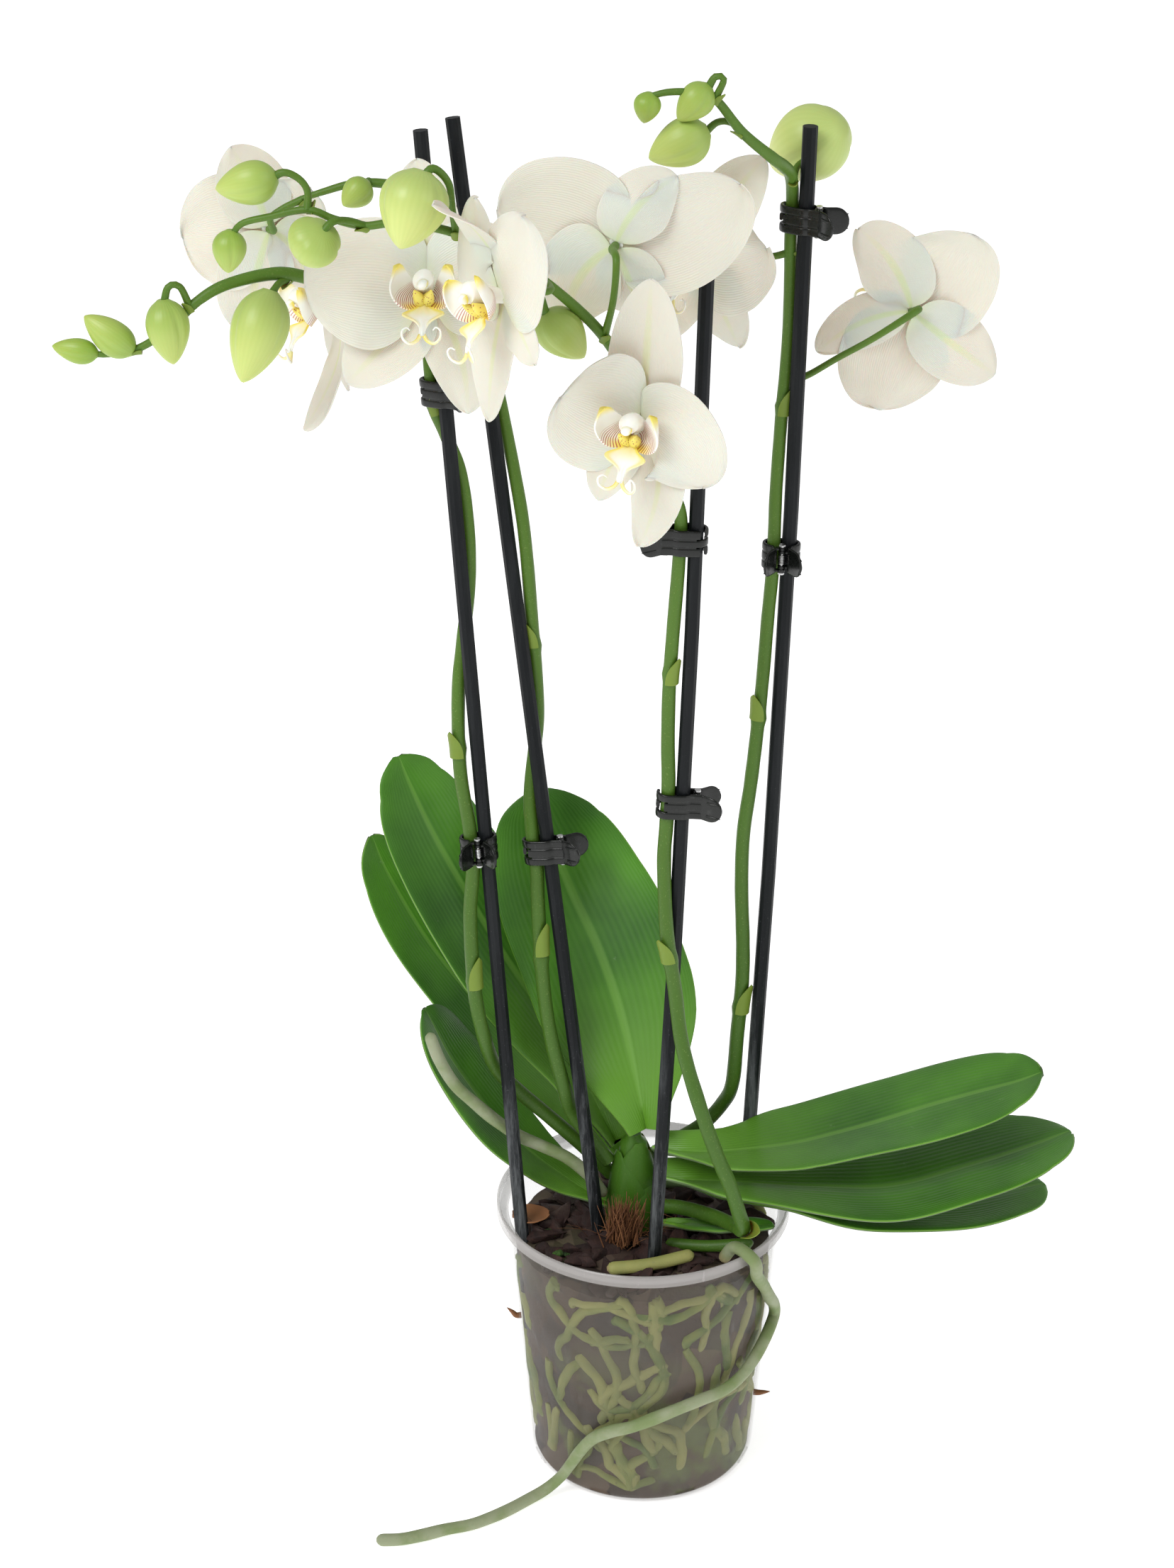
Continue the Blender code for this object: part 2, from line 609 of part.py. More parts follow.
def make_roots():
    def outside(angle, height, gap=0.4):
        radius = pot_radius(height) + gap + ROOT_RADIUS
        turn = math.radians(angle)
        return Vector((radius * math.cos(turn), radius * math.sin(turn), height))

    over = POT_HEIGHT + ROOT_RADIUS + 1.3
    turn = math.radians(-48.0)
    rim = Vector((math.cos(turn), math.sin(turn), 0.0))
    edge = POT_RIM_RADIUS + ROOT_RADIUS + 0.5
    trail = [rim * (edge - 16.0) + Vector((0, 0, SOIL + ROOT_RADIUS + 1.5))]
    trail += [rim * (edge - 9.0) + Vector((0, 0, over - 2.6)), rim * (edge - 3.6) + Vector((0, 0, over))]
    trail += [rim * (edge + 0.6) + Vector((1, 1, over - 5.0))]
    trail += [outside(-41.0, POT_HEIGHT - 14.0, 2.5), outside(-34.0, 0.83 * POT_HEIGHT), outside(-22.0, 0.70 * POT_HEIGHT)]
    trail += [outside(-13.0, 0.61 * POT_HEIGHT, 1.0), outside(-24.0, 0.56 * POT_HEIGHT, 0.8)]
    trail += [outside(-39.0, 0.49 * POT_HEIGHT), outside(-53.0, 0.46 * POT_HEIGHT), outside(-68.0, 0.45 * POT_HEIGHT)]
    trail += [outside(-81.0, 0.42 * POT_HEIGHT), outside(-95.0, 0.37 * POT_HEIGHT), outside(-107.0, 0.33 * POT_HEIGHT)]
    trail += [outside(-116.0, 0.27 * POT_HEIGHT), outside(-124.0, 0.17 * POT_HEIGHT)]
    ground = ROOT_RADIUS + 0.1
    lead = outside(-133.0, 0.0, 3.0)
    trail += [Vector((lead.x, lead.y, 0.06 * POT_HEIGHT))]
    floor_steps = [(-10, -5), (-12, -10), (-13, -8), (-13, -4), (-12, -5), (-13, -1)]
    spot = Vector((lead.x, lead.y, ground))
    for x, y in floor_steps:
        spot = spot + Vector((x, y, 0.0))
        trail.append(spot)
    points = smooth_route(trail, lambda point: 7.0)
    points = [Vector((p.x, p.y, max(p.z, ground))) for p in points]
    thin = [ROOT_RADIUS * min(1.0, 0.55 + 0.09 * (len(points) - 1 - index)) for index in range(len(points))]
    points = [Vector((p.x, p.y, p.z)) for p in points]
    add("trailing_root", tube(points, thin, "trailing_root"), ROOT_GREY)
    points = smooth_route([on_bark(Vector(p)) for p in SIDE_ROOT], lambda point: 8.0)
    radii = [ROOT_RADIUS] * (len(points) - 1) + [0.8 * ROOT_RADIUS]
    add("upright_root", tube(points, radii, "upright_root"), ROOT_GREY)
    for name, route, radius, finish in (("cut_spike", CUT_SPIKE, 2.3, SPIKE_GREEN), ("cut_root", CUT_ROOT, 2.1, ROOT_GREY)):
        points = smooth_route([on_bark(Vector(p)) for p in route], lambda point: 9.0)
        add(name, tube(points, [radius] * len(points), name), finish)


for stale in list(bpy.data.objects):
    bpy.data.objects.remove(stale)

PARTS = collection("potted_orchid")
CUTTERS = collection("cutters")

CLEAR_PLASTIC = material("clear_plastic", (0.62, 0.60, 0.58), 0.25, alpha=0.35)
STAKE_PLASTIC = material("stake_plastic", (0.012, 0.014, 0.017), 0.45)
CLIP_BLACK = material("clip_plastic", (0.010, 0.011, 0.010), 0.25)
PIN_STEEL = material("pin_steel", (0.60, 0.60, 0.60), 0.3, metallic=1.0)
BARK = material("bark", (0.045, 0.022, 0.014), 0.9)
STEM_GREEN = material("stem_green", (0.12, 0.22, 0.04), 0.5)
SPIKE_GREEN = material("spike_green", (0.13, 0.26, 0.04), 0.5)
LEAF_GREEN = material("leaf_green", (0.05, 0.20, 0.012), 0.35)
PETAL_WHITE = material("petal_white", (0.80, 0.79, 0.72), 0.55)
LIP_YELLOW = material("lip_yellow", (0.80, 0.66, 0.20), 0.5)
ROOT_GREY = material("root_grey", (0.33, 0.38, 0.24), 0.7)

STAKES = {
    "stake_left": {"foot": inside_wall(-171.0, 0.5 * STAKE_DIAMETER + 1.55), "top": Vector((-83.0, 15.0, 454.0)), "bow": 0.0},
    "stake_inner_left": {"foot": Vector((-18.0, -9.0, 0.0)), "top": Vector((-72.0, 32.0, 454.0)), "bow": 0.0},
    "stake_centre": {"foot": Vector((4.0, -30.0, 0.0)), "top": Vector((19.0, -42.0, 418.0)), "bow": 1.8},
    "stake_right": {"foot": inside_wall(27.0, 0.5 * STAKE_DIAMETER + 3.95), "top": Vector((58.0, 24.0, 453.0)), "bow": 2.0},
}

# Each leaf: midrib points, the direction across its blade, its width and how steeply its edges rise.
LEAVES = {
    "leaf_left_tall": (
        [(-12, 14, 30), (-30, 21, 66), (-59, 28, 113), (-82, 35, 154), (-94, 41, 180), (-98, 43, 191)],
        (0.62, 0.62, 0.35), 50, 16, 0.55),
    "leaf_left_back": (
        [(-10, 21, 18), (-34, 36, 39), (-62, 46, 67), (-88, 53, 101), (-105, 59, 130), (-111, 62, 146)],
        (0.60, 0.68, 0.30), 34, 14, 0.55),
    "leaf_centre": (
        [(1, 4, 42), (-8, 12, 86), (-18, 19, 116), (-30, 26, 142), (-39, 33, 165), (-43, 37, 179)],
        (0.94, 0.05, 0.33), 66, 12, 0.42),
    "leaf_left_low": (
        [(-14, 6, 4), (-30, 11, 12), (-45, 14, 23), (-63, 14, 44), (-78, 13, 69), (-88, 12, 93)],
        (0.35, 0.85, 0.30), 33, 14, 0.6),
    "leaf_right_top": (
        [(6, 3, 32), (22, -2, 34), (44, -2, 35), (68, 3, 36), (97, 4, 45), (126, 4, 55), (150, 4, 63), (161, 4, 68)],
        (0.0, 1.0, 0.0), 58, 10, 0.6),
    "leaf_right_middle": (
        [(6, -3, 22), (40, -8, 23), (70, -8, 21), (103, -8, 22), (135, -5, 30), (160, 0, 36), (174, 4, 40)],
        (0.0, 1.0, 0.0), 60, 10, 0.62),
    "leaf_right_low": (
        [(7, 6, 14.5), (20, 5, 16), (40, 1, 17), (62, -1, 17), (90, -4, 13), (125, -3, 11.5), (150, 2, 13), (165, 6, 14)],
        (0.0, 1.0, 0.0), 52, 7, 0.6),
    "leaf_right_small": (
        [(8, -8, 4), (14, -11, 5.5), (30, -17, 8.5), (52, -25, 14.0)],
        (0.4, 0.9, 0.0), 12, 10, 0.6),
}

SIDE_ROOT = [
    (-15.5, 0, 12), (-22, 1, 21), (-31, 2, 29), (-42, 2, 35), (-51, 1.5, 40), (-60, 0, 48), (-68, -2, 57), (-76, -4, 67),
    (-82, -5, 79), (-86, -6, 92)]
CUT_SPIKE = [(9, -21, 2.8), (26, -25, 4), (44, -28, 7.5)]
CUT_ROOT = [(-15, -40, 3), (2, -37, 3), (20, -31, 4)]

LEFT = STAKES["stake_left"]
INNER = STAKES["stake_inner_left"]
MIDDLE = STAKES["stake_centre"]
RIGHT = STAKES["stake_right"]


def route_left():
    route = [Vector(p) for p in ((-13, 11, 16), (-25, 10.5, 30), (-38, 9, 44), (-51, 7, 58), (-60, 4, 71))]
    route += [beside(LEFT, 92, 180, 3), beside(LEFT, 111, 180, 4.5), beside(LEFT, 142, 180, 3.5)]
    route += [beside(LEFT, h, 180) for h in (164, 180)]
    route += [beside(LEFT, 205, 178, 2), beside(LEFT, 235, 150, 1), beside(LEFT, 256, 110)]
    route += [beside(LEFT, 276, 72), beside(LEFT, 298, 50), beside(LEFT, 322, 60), beside(LEFT, 338, 105)]
    route += [beside(LEFT, h, 145) for h in (350, 362)]
    route += [beside(LEFT, 376, 140, 1.5)]
    route += [Vector(p) for p in (
        (-87, 2, 388), (-96, -8, 394), (-106, -17, 402), (-117, -26, 410), (-131, -34, 416), (-148, -42, 415),
        (-159, -46, 410), (-170, -48, 400), (-181, -48, 393), (-191, -48, 391), (-197, -48, 391))]
    return route


def route_inner():
    route = [Vector(p) for p in ((-14, 3, 27), (-21, 3.6, 37), (-29, 3, 50))]
    route += [beside(INNER, 65, 165, 1.5), beside(INNER, 86, 180, 3.5), beside(INNER, 105, 180, 4)]
    route += [beside(INNER, 127, 180, 3), beside(INNER, 148, 172, 1.5)]
    route += [beside(INNER, h, 165) for h in (160, 176)]
    route += [beside(INNER, 190, 140), beside(INNER, 206, 100), beside(INNER, 222, 68), beside(INNER, 241, 50)]
    route += [beside(INNER, 262, 35), beside(INNER, 285, 12, 0.8), beside(INNER, 305, 8, 1), beside(INNER, 330, 35)]
    route += [beside(INNER, 355, 62), beside(INNER, 380, 90, 0.8)]
    route += [Vector(p) for p in (
        (-66, 42, 400), (-72, 45, 412), (-85, 46, 421), (-98, 46, 425), (-110, 46, 425), (-121, 46, 422), (-130, 46, 419))]
    return route


def route_centre():
    route = [Vector(p) for p in (
        (8, -4.5, 10), (16, -9, 12), (28, -20, 15), (36, -33, 19), (39, -44, 25), (37, -47, 34), (33, -48, 48), (28, -48, 61), (21, -48, 83), (14, -44, 108))]
    route += [beside(MIDDLE, 131, -84, 1), beside(MIDDLE, 155, -128), beside(MIDDLE, 184, -168, 0.8)]
    route += [beside(MIDDLE, h, 180) for h in (200, 217)]
    route += [beside(MIDDLE, 235, 180, 1.5), beside(MIDDLE, 258, 180, 2), beside(MIDDLE, 280, 180, 1.5)]
    route += [beside(MIDDLE, h, 180) for h in (308, 326)]
    route += [Vector(p) for p in (
        (7, -46, 340), (2, -51, 358), (-5, -57, 380), (-17, -62, 402), (-32, -70, 420), (-47, -76, 433), (-67, -81, 445),
        (-86, -82, 449), (-98, -82, 448), (-108, -81, 450), (-117, -80, 453), (-130, -78, 450), (-140, -77, 447), (-144, -77, 441))]
    return route


def route_right():
    route = [Vector(p) for p in ((4, 16, 22), (14, 24, 24), (25, 27, 30), (33, 27, 40))]
    route += [beside(RIGHT, 52, 170, 3), beside(RIGHT, 76, 180, 2.5), beside(RIGHT, 98, 180, 2)]
    route += [beside(RIGHT, 117, 180, 2.8), beside(RIGHT, 144, 180, 5), beside(RIGHT, 167, 180, 5.6)]
    route += [beside(RIGHT, 189, 180, 4), beside(RIGHT, 211, 180, 2.8), beside(RIGHT, 235, 180, 1.8)]
    route += [beside(RIGHT, 260, 180, 1.2)]
    route += [beside(RIGHT, h, 180) for h in (278, 294)]
    route += [beside(RIGHT, 312, 172, 0.7), beside(RIGHT, 340, 155), beside(RIGHT, 370, 135), beside(RIGHT, 395, 140)]
    route += [beside(RIGHT, h, 150) for h in (410, 426)]
    route += [Vector(p) for p in (
        (51, 20, 436), (48, 10, 442), (43, 1, 448), (32, -6, 459), (22, -10, 472), (13, -12, 475), (5, -12, 475), (-1, -12, 473.5))]
    return route


# Round a flower from its back sepal: the sepals' and the petals' angles, then where each starts to run outwards.
TEPAL_ANGLES = (90.0, 164.0, 230.0, 310.0, 376.0)
PETAL_ANGLES = (164.0, 376.0)
TEPAL_ROWS = (0.0, 0.2, 0.45, 0.7, 0.88, 0.975)

# Each flower: its middle, the way it faces, the way its back sepal points, and the tip, width and forward bulge of
# each tepal: back sepal, left petal, left sepal, right sepal and right petal, as its viewer sees them.
FLOWERS = {
    "flower_left_front": {
        "centre": (-79, -48, 413), "facing": (-0.05, -0.93, 0.36), "up": (0, 0.44, 0.9), "tepals": [
            ((-82, -36, 458), 26, 3), ((-121, -52, 417), 46, 5), ((-107, -56, 383), 27, 2),
            ((-65, -54, 371), 24, 2), ((-46, -44, 429), 40, 3)]},
    "flower_left_profile": {
        "centre": (-51, -104, 430), "facing": (-0.80, -0.60, 0.0), "up": (-0.2, 0.25, 0.95), "tepals": [
            ((-73, -118, 466), 18, 0), ((-60, -97, 462), 24, 0), ((-56, -103, 386), 22, 2),
            ((-40, -120, 412), 20, 4), ((-44, -124, 464), 36, 4)]},
    "flower_centre_back": {
        "centre": (-13, -52, 432), "facing": (0.15, 0.96, -0.1), "up": (0.35, 0.2, 0.9), "tepals": [
            ((8, -44, 454), 24, 2), ((30, -40, 450), 40, 3), ((-2, -42, 404), 24, 2),
            ((-31, -50, 402), 32, 2), ((-54, -50, 444), 42, 3)]},
    "flower_right_front": {
        "centre": (18.5, 4, 410), "facing": (-0.36, -0.88, 0.2), "up": (0.35, 0.2, 0.9), "tepals": [
            ((41, 10, 445), 24, 2), ((-6, 6, 420), 38, 3), ((8, 1, 380), 32, 2),
            ((33, 6, 375), 20, 2), ((42, 8, 412), 42, 3)]},
    "flower_centre_low": {
        "centre": (-4.5, -88, 379), "facing": (-0.35, -0.93, 0.05), "up": (0.12, 0.15, 0.98), "tepals": [
            ((-1, -84, 430), 27, 3), ((-32, -93, 391), 46, 4), ((-19, -89, 352), 18, 2),
            ((-5, -92, 336), 20, 2), ((17, -97, 360), 36, 8)]},
    "flower_right_back": {
        "centre": (99, 44, 376), "facing": (-0.15, 0.93, -0.34), "up": (0.76, 0.0, -0.65), "tepals": [
            ((132, 47, 350), 28, 2), ((88, 42, 338), 42, 2), ((64, 42, 361), 20, 1),
            ((78, 45, 408), 28, 2), ((121, 48, 405), 42, 3)]},
    "flower_far_left_back": {
        "centre": (-143, 58, 404), "facing": (-0.31, 0.93, -0.22), "up": (-0.36, 0.3, 0.84), "tepals": [
            ((-156, 60, 435), 28, 2), ((-127, 62, 418), 30, 2), ((-128, 64, 371), 26, 2),
            ((-152, 64, 362), 30, 2), ((-176, 60, 400), 44, 3)]},
    "flower_far_left_side": {
        "centre": (-116, 2, 393), "facing": (-0.91, -0.41, -0.03), "up": (-0.1, 0.1, 0.98), "tepals": [
            ((-120, 0, 419), 16, 0), ((-124, 22, 398), 22, 1), ((-111, 7, 358), 18, 1),
            ((-127, -8, 348), 18, 1), ((-122, -20, 404), 22, 1)]},
}


def stalk_to(flower, *points):
    """A stalk through the given points that meets the middle of a flower's back squarely."""
    centre = Vector(FLOWERS[flower]["centre"])
    facing = Vector(FLOWERS[flower]["facing"]).normalized()
    back = 0.5 * FLOWER_THICKNESS + 1.0
    return [*points, centre - facing * (back + 7.0), centre - facing * (back + 3.0), centre - facing * back]


SPIKES = {
    "spike_left": (route_left(), 24, [
        stalk_to("flower_left_front", (-91, -3, 391), (-86, -14, 399), (-81, -28, 406)),
        stalk_to("flower_far_left_side", (-99, -11, 397)),
        [(-129, -33, 413.5), (-131.5, -38, 413.5), (-133.5, -43, 411.5)],
        [(-162, -47, 408), (-165, -49, 416), (-169, -50, 416), (-171, -51, 408)],
        [(-181, -48, 393), (-183, -48, 392.5), (-186, -48, 394.5)],
    ], [
        ((-195, -48, 391), (-211, -48, 394), 9.5),
        ((-182.5, -48, 391.5), (-199, -48, 405), 13),
        ((-171, -51, 412), (-168, -53, 389), 16),
        ((-133.8, -43.5, 413), (-144, -55, 383), 21),
    ]),
    "spike_inner_left": (route_inner(), 21, [
        [(-104, 46, 426), (-105, 42, 426), (-108, 38, 424)],
        stalk_to("flower_far_left_back", (-129, 46, 419), (-136, 45, 416), (-141, 45, 412)),
    ], [
        ((-104, 42, 427), (-113, 35, 420), 12),
    ]),
    "spike_centre": (route_centre(), 20, [
        stalk_to("flower_centre_low", (-5, -57, 380), (-5, -66, 379)),
        stalk_to("flower_centre_back", (-17, -62, 402), (-14, -70, 418), (-13, -70, 432)),
        stalk_to("flower_left_profile", (-42, -74, 429), (-36, -84, 428), (-36, -94, 429)),
        [(-44, -75, 431), (-40, -72, 424), (-37, -69, 412)],
        [(-67, -81, 445), (-68, -86, 454), (-69, -90, 465), (-74, -93, 471), (-78, -95, 467)],
        [(-98, -82, 448), (-103, -86, 451), (-108, -91, 452), (-112, -93, 448)],
        [(-117, -80, 453), (-117, -78, 459), (-120, -77, 463), (-125, -77, 465), (-130, -76, 462)],
    ], [
        ((-38, -69, 413), (-24, -66, 396), 17),
        ((-77.5, -95, 471), (-85, -101, 446), 24),
        ((-111, -94, 450), (-119, -86, 438), 19),
        ((-127, -76, 463), (-148, -76, 459), 15.5),
        ((-143.5, -77, 445), (-145, -77, 430), 12),
    ]),
    "spike_right": (route_right(), 23, [
        stalk_to("flower_right_front", (53, 27, 405), (45, 27, 403), (34, 20, 406)),
        stalk_to("flower_right_back", (51.8, 26.2, 352), (54, 30.5, 353), (61, 31, 356), (71, 29, 363), (84, 28, 371)),
        [(52, 20, 434), (54, 28, 437), (60, 32, 440), (66, 33, 445), (68, 36, 449)],
        [(22, -10, 472), (25, -10, 479), (22, -10, 480), (19, -10, 475)],
        [(32, -6, 459), (28, -4, 462), (23, -4, 462), (18, -6, 458)],
    ], [
        ((70, 35, 450), (46, 53, 430), 29),
        ((20, -10, 477), (9, -12, 465), 13),
        ((20, -6, 460), (-1, -8, 450), 18),
        ((-1, -12, 475), (-3, -12, 464), 10),
    ]),
}

# Each clip: its stake, its height, the side of the stake that the stem is on, how it grips and which way it faces.
CLIPS = {
    "clip_left_upper": ("stake_left", 356, 145, "end", 1),
    "clip_left_lower": ("stake_left", 172, 180, "side", -1),
    "clip_inner_left": ("stake_inner_left", 168, 165, "end", 1),
    "clip_centre_upper": ("stake_centre", 317, 180, "end", -1),
    "clip_centre_lower": ("stake_centre", 209, 180, "end", 1),
    "clip_right_upper": ("stake_right", 418, 150, "end", 1),
    "clip_right_lower": ("stake_right", 286, 180, "side", -1),
}

LIP = lip_mesh()

make_pot()
make_bark()
make_stakes()
make_crown()
make_leaves()
for spike_name, (spike_route, flowering, spike_stalks, spike_buds) in SPIKES.items():
    make_spike(spike_name, spike_route, flowering, spike_stalks, spike_buds)
for flower_name, flower_shape in FLOWERS.items():
    make_flower(flower_name, flower_shape)
make_clips()
make_roots()
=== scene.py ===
import math
import random

import bmesh
import bpy
from mathutils import Matrix, Vector, noise


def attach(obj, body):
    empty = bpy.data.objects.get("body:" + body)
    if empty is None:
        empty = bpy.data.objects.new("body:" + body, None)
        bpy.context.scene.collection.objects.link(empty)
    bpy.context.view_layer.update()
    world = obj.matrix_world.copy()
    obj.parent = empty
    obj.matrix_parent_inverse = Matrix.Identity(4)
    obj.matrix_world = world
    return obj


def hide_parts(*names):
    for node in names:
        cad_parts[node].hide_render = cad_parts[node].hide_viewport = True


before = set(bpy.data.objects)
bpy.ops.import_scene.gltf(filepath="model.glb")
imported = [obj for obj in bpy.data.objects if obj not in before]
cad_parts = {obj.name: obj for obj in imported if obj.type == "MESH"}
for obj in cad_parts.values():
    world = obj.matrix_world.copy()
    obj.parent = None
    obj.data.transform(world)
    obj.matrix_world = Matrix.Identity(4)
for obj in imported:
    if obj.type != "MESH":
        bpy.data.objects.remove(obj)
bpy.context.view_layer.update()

mm = 0.001
dice = random.Random(7)
noise.seed_set(7)  # the vector noise starts from the clock otherwise
potSizes = {"height": 122.0, "rimRadius": 60.0, "shoulder": 56.0, "base": 46.8, "wall": 0.8, "rimWall": 1.2,
            "flange": 5.4, "corner": 7.0, "soil": 110.0, "steps": 128, "slots": 8}
soil = potSizes["soil"]


# shader helpers

class Wire:  # a socket that does arithmetic
    def __init__(self, tree, socket):
        self.tree = tree
        self.socket = socket

    def maths(self, operation, first, second=0.0):
        node = self.tree.nodes.new("ShaderNodeMath")
        node.operation = operation
        for slot, value in zip(node.inputs, (first, second)):
            if isinstance(value, Wire):
                self.tree.links.new(value.socket, slot)
            else:
                slot.default_value = value
        return Wire(self.tree, node.outputs[0])

    def __add__(self, other):
        return self.maths("ADD", self, other)

    def __radd__(self, other):
        return self.maths("ADD", other, self)

    def __sub__(self, other):
        return self.maths("SUBTRACT", self, other)

    def __rsub__(self, other):
        return self.maths("SUBTRACT", other, self)

    def __mul__(self, other):
        return self.maths("MULTIPLY", self, other)

    def __rmul__(self, other):
        return self.maths("MULTIPLY", other, self)


class Finish:  # one material and its nodes
    def __init__(self, name, **fixed):
        self.material = bpy.data.materials.new(name)
        self.material.use_nodes = True
        self.tree = self.material.node_tree
        self.shader = self.tree.nodes["Principled BSDF"]
        self.shader.inputs["Subsurface Scale"].default_value = 0.012
        for key, value in fixed.items():
            self.shader.inputs[key.replace("_", " ")].default_value = value

    def node(self, kind, settings=None, sockets=None, output=0):
        made = self.tree.nodes.new("ShaderNode" + kind)
        for key, value in (settings or {}).items():
            if key == "stops":
                ramp = made.color_ramp.elements
                while len(ramp) < len(value):
                    ramp.new(0.5)
                for element, (position, colour) in zip(ramp, value):
                    element.position = position
                    element.color = (*colour, 1.0)
            else:
                setattr(made, key, value)
        for key, value in (sockets or {}).items():
            slot = made.inputs[key]
            if isinstance(value, Wire):
                self.tree.links.new(value.socket, slot)
            else:
                slot.default_value = value
        return Wire(self.tree, made.outputs[output])

    def where(self, stretch=(1.0, 1.0, 1.0)):
        place = self.node("TexCoord", output=3)
        return self.node("Mapping", None, {"Vector": place, "Scale": stretch})

    def grown(self, axis):  # along, across or the third mark of a piece
        marks = self.node("Attribute", {"attribute_name": "grow"}, output=1)
        return self.node("SeparateXYZ", None, {0: marks}, output=axis)

    def grain(self, scale, detail=4.0, stretch=(1.0, 1.0, 1.0), roughness=0.55):
        return self.node("TexNoise", None, {"Vector": self.where(stretch), "Scale": scale, "Detail": detail,
                                            "Roughness": roughness})

    def spread(self, value, low, high, start=0.0, end=1.0):  # a smooth step between two values
        sockets = {0: value, 1: low, 2: high, 3: start, 4: end}
        return self.node("MapRange", {"interpolation_type": "SMOOTHSTEP"}, sockets)

    def ramp(self, value, *stops):
        return self.node("ValToRGB", {"stops": stops}, {0: value})

    def mix(self, share, first, second):
        sockets = {0: share}
        for index, colour in ((6, first), (7, second)):
            sockets[index] = colour if isinstance(colour, Wire) else (*colour, 1.0)
        return self.node("Mix", {"data_type": "RGBA"}, sockets, output=2)

    def height(self):
        return self.node("SeparateXYZ", None, {0: self.node("TexCoord", output=3)}, output=2)

    def stripes(self, direction, place, scale, distortion, detail=2.0, detailScale=1.0):
        return self.node("TexWave", {"bands_direction": direction}, {
            "Vector": self.node("CombineXYZ", None, dict(enumerate(place))), "Scale": scale,
            "Distortion": distortion, "Detail": detail, "Detail Scale": detailScale}, output=1)

    def feed(self, socket, wire):
        self.tree.links.new(wire.socket, self.shader.inputs[socket])

    def dress(self, colour, roughness, relief=None, depth=0.0005, strength=0.5):
        self.feed("Base Color", colour)
        self.feed("Roughness", roughness)
        if relief is not None:
            sockets = {"Strength": strength, "Distance": depth, "Height": relief}
            self.feed("Normal", self.node("Bump", None, sockets))
        return self.material


# finishes

def leafFinish():
    made = Finish("leafGreen", Roughness=0.36, Coat_Weight=0.12, Coat_Roughness=0.3, Specular_IOR_Level=0.35)
    along, across, side = (made.grown(axis) for axis in range(3))
    patches = made.grain(22.0, 3.0)
    fine = made.grain(700.0, 2.0)
    base = made.ramp(patches, (0.3, (0.024, 0.110, 0.005)), (0.7, (0.070, 0.245, 0.010)))
    young = made.mix(made.spread(along, 0.45, 0.0), base, (0.12, 0.30, 0.02))
    veins = made.stripes("X", (across * 3.4, along * 0.35, 0.0), 1.6, 0.8, detailScale=1.5)
    striped = made.mix(veins * 0.11, young, (0.14, 0.36, 0.05))
    middle = made.spread(across * across, 0.0022, 0.0)
    ribbed = made.mix(middle * 0.38, striped, (0.20, 0.42, 0.07))
    edge = made.spread(across * across, 0.86, 1.0)
    edged = made.mix(edge * 0.7, ribbed, (0.20, 0.44, 0.03))
    under = made.mix(patches * 0.5, (0.10, 0.17, 0.06), (0.17, 0.22, 0.12))
    colour = made.mix(side, under, edged)
    dust = made.spread(made.grain(160.0, 5.0, roughness=0.7), 0.66, 0.8)
    dusty = made.mix(dust * 0.25, colour, (0.42, 0.50, 0.36))
    relief = veins * 0.5 + fine * 0.3 - middle * 0.6
    return made.dress(dusty, 0.30 + 0.16 * made.grain(60.0, 4.0), relief, 0.0004, 0.35)


def stemFinish(name, low, high, freckle):
    made = Finish(name, Subsurface_Weight=0.06, Coat_Weight=0.05, Coat_Roughness=0.35, Specular_IOR_Level=0.3)
    height = made.height()
    streaks = made.grain(110.0, 4.0, (1.0, 1.0, 0.12))
    speckle = made.spread(made.grain(1500.0, 2.0), 0.60, 0.72)
    rising = made.mix(made.spread(height, 0.17, 0.5), low, high)
    toned = made.mix(streaks * 0.5, rising, tuple(c * 0.55 for c in low))
    spotted = made.mix(speckle * freckle, toned, (0.30, 0.42, 0.12))
    sheathed = made.mix(made.spread(made.grown(2), 0.4, 0.6), spotted, (0.17, 0.25, 0.030))
    return made.dress(sheathed, 0.38 + 0.2 * streaks, streaks * 0.6 + speckle * 0.15, 0.0003, 0.4)


def budFinish():
    made = Finish("budGreen", Roughness=0.42, Subsurface_Weight=0.12, Coat_Weight=0.06, Coat_Roughness=0.4)
    along, around, ripeness = (made.grown(axis) for axis in range(3))
    veins = made.stripes("X", (around * 8.0, along * 0.6, 0.0), 1.2, 1.2)
    tint = made.mix(made.spread(along, 0.0, 0.9), (0.30, 0.46, 0.035), (0.66, 0.74, 0.15))
    green, ripe = made.mix(0.70, tint, (0.19, 0.34, 0.035)), made.mix(0.40, tint, (0.78, 0.82, 0.42))
    veined = made.mix(veins * 0.07, made.mix(ripeness, green, ripe), (0.30, 0.45, 0.06))
    cloud = made.grain(40.0, 3.0)
    return made.dress(made.mix(cloud * 0.22, veined, (0.30, 0.44, 0.08)), 0.36 + 0.16 * cloud, veins, 0.0002, 0.12)


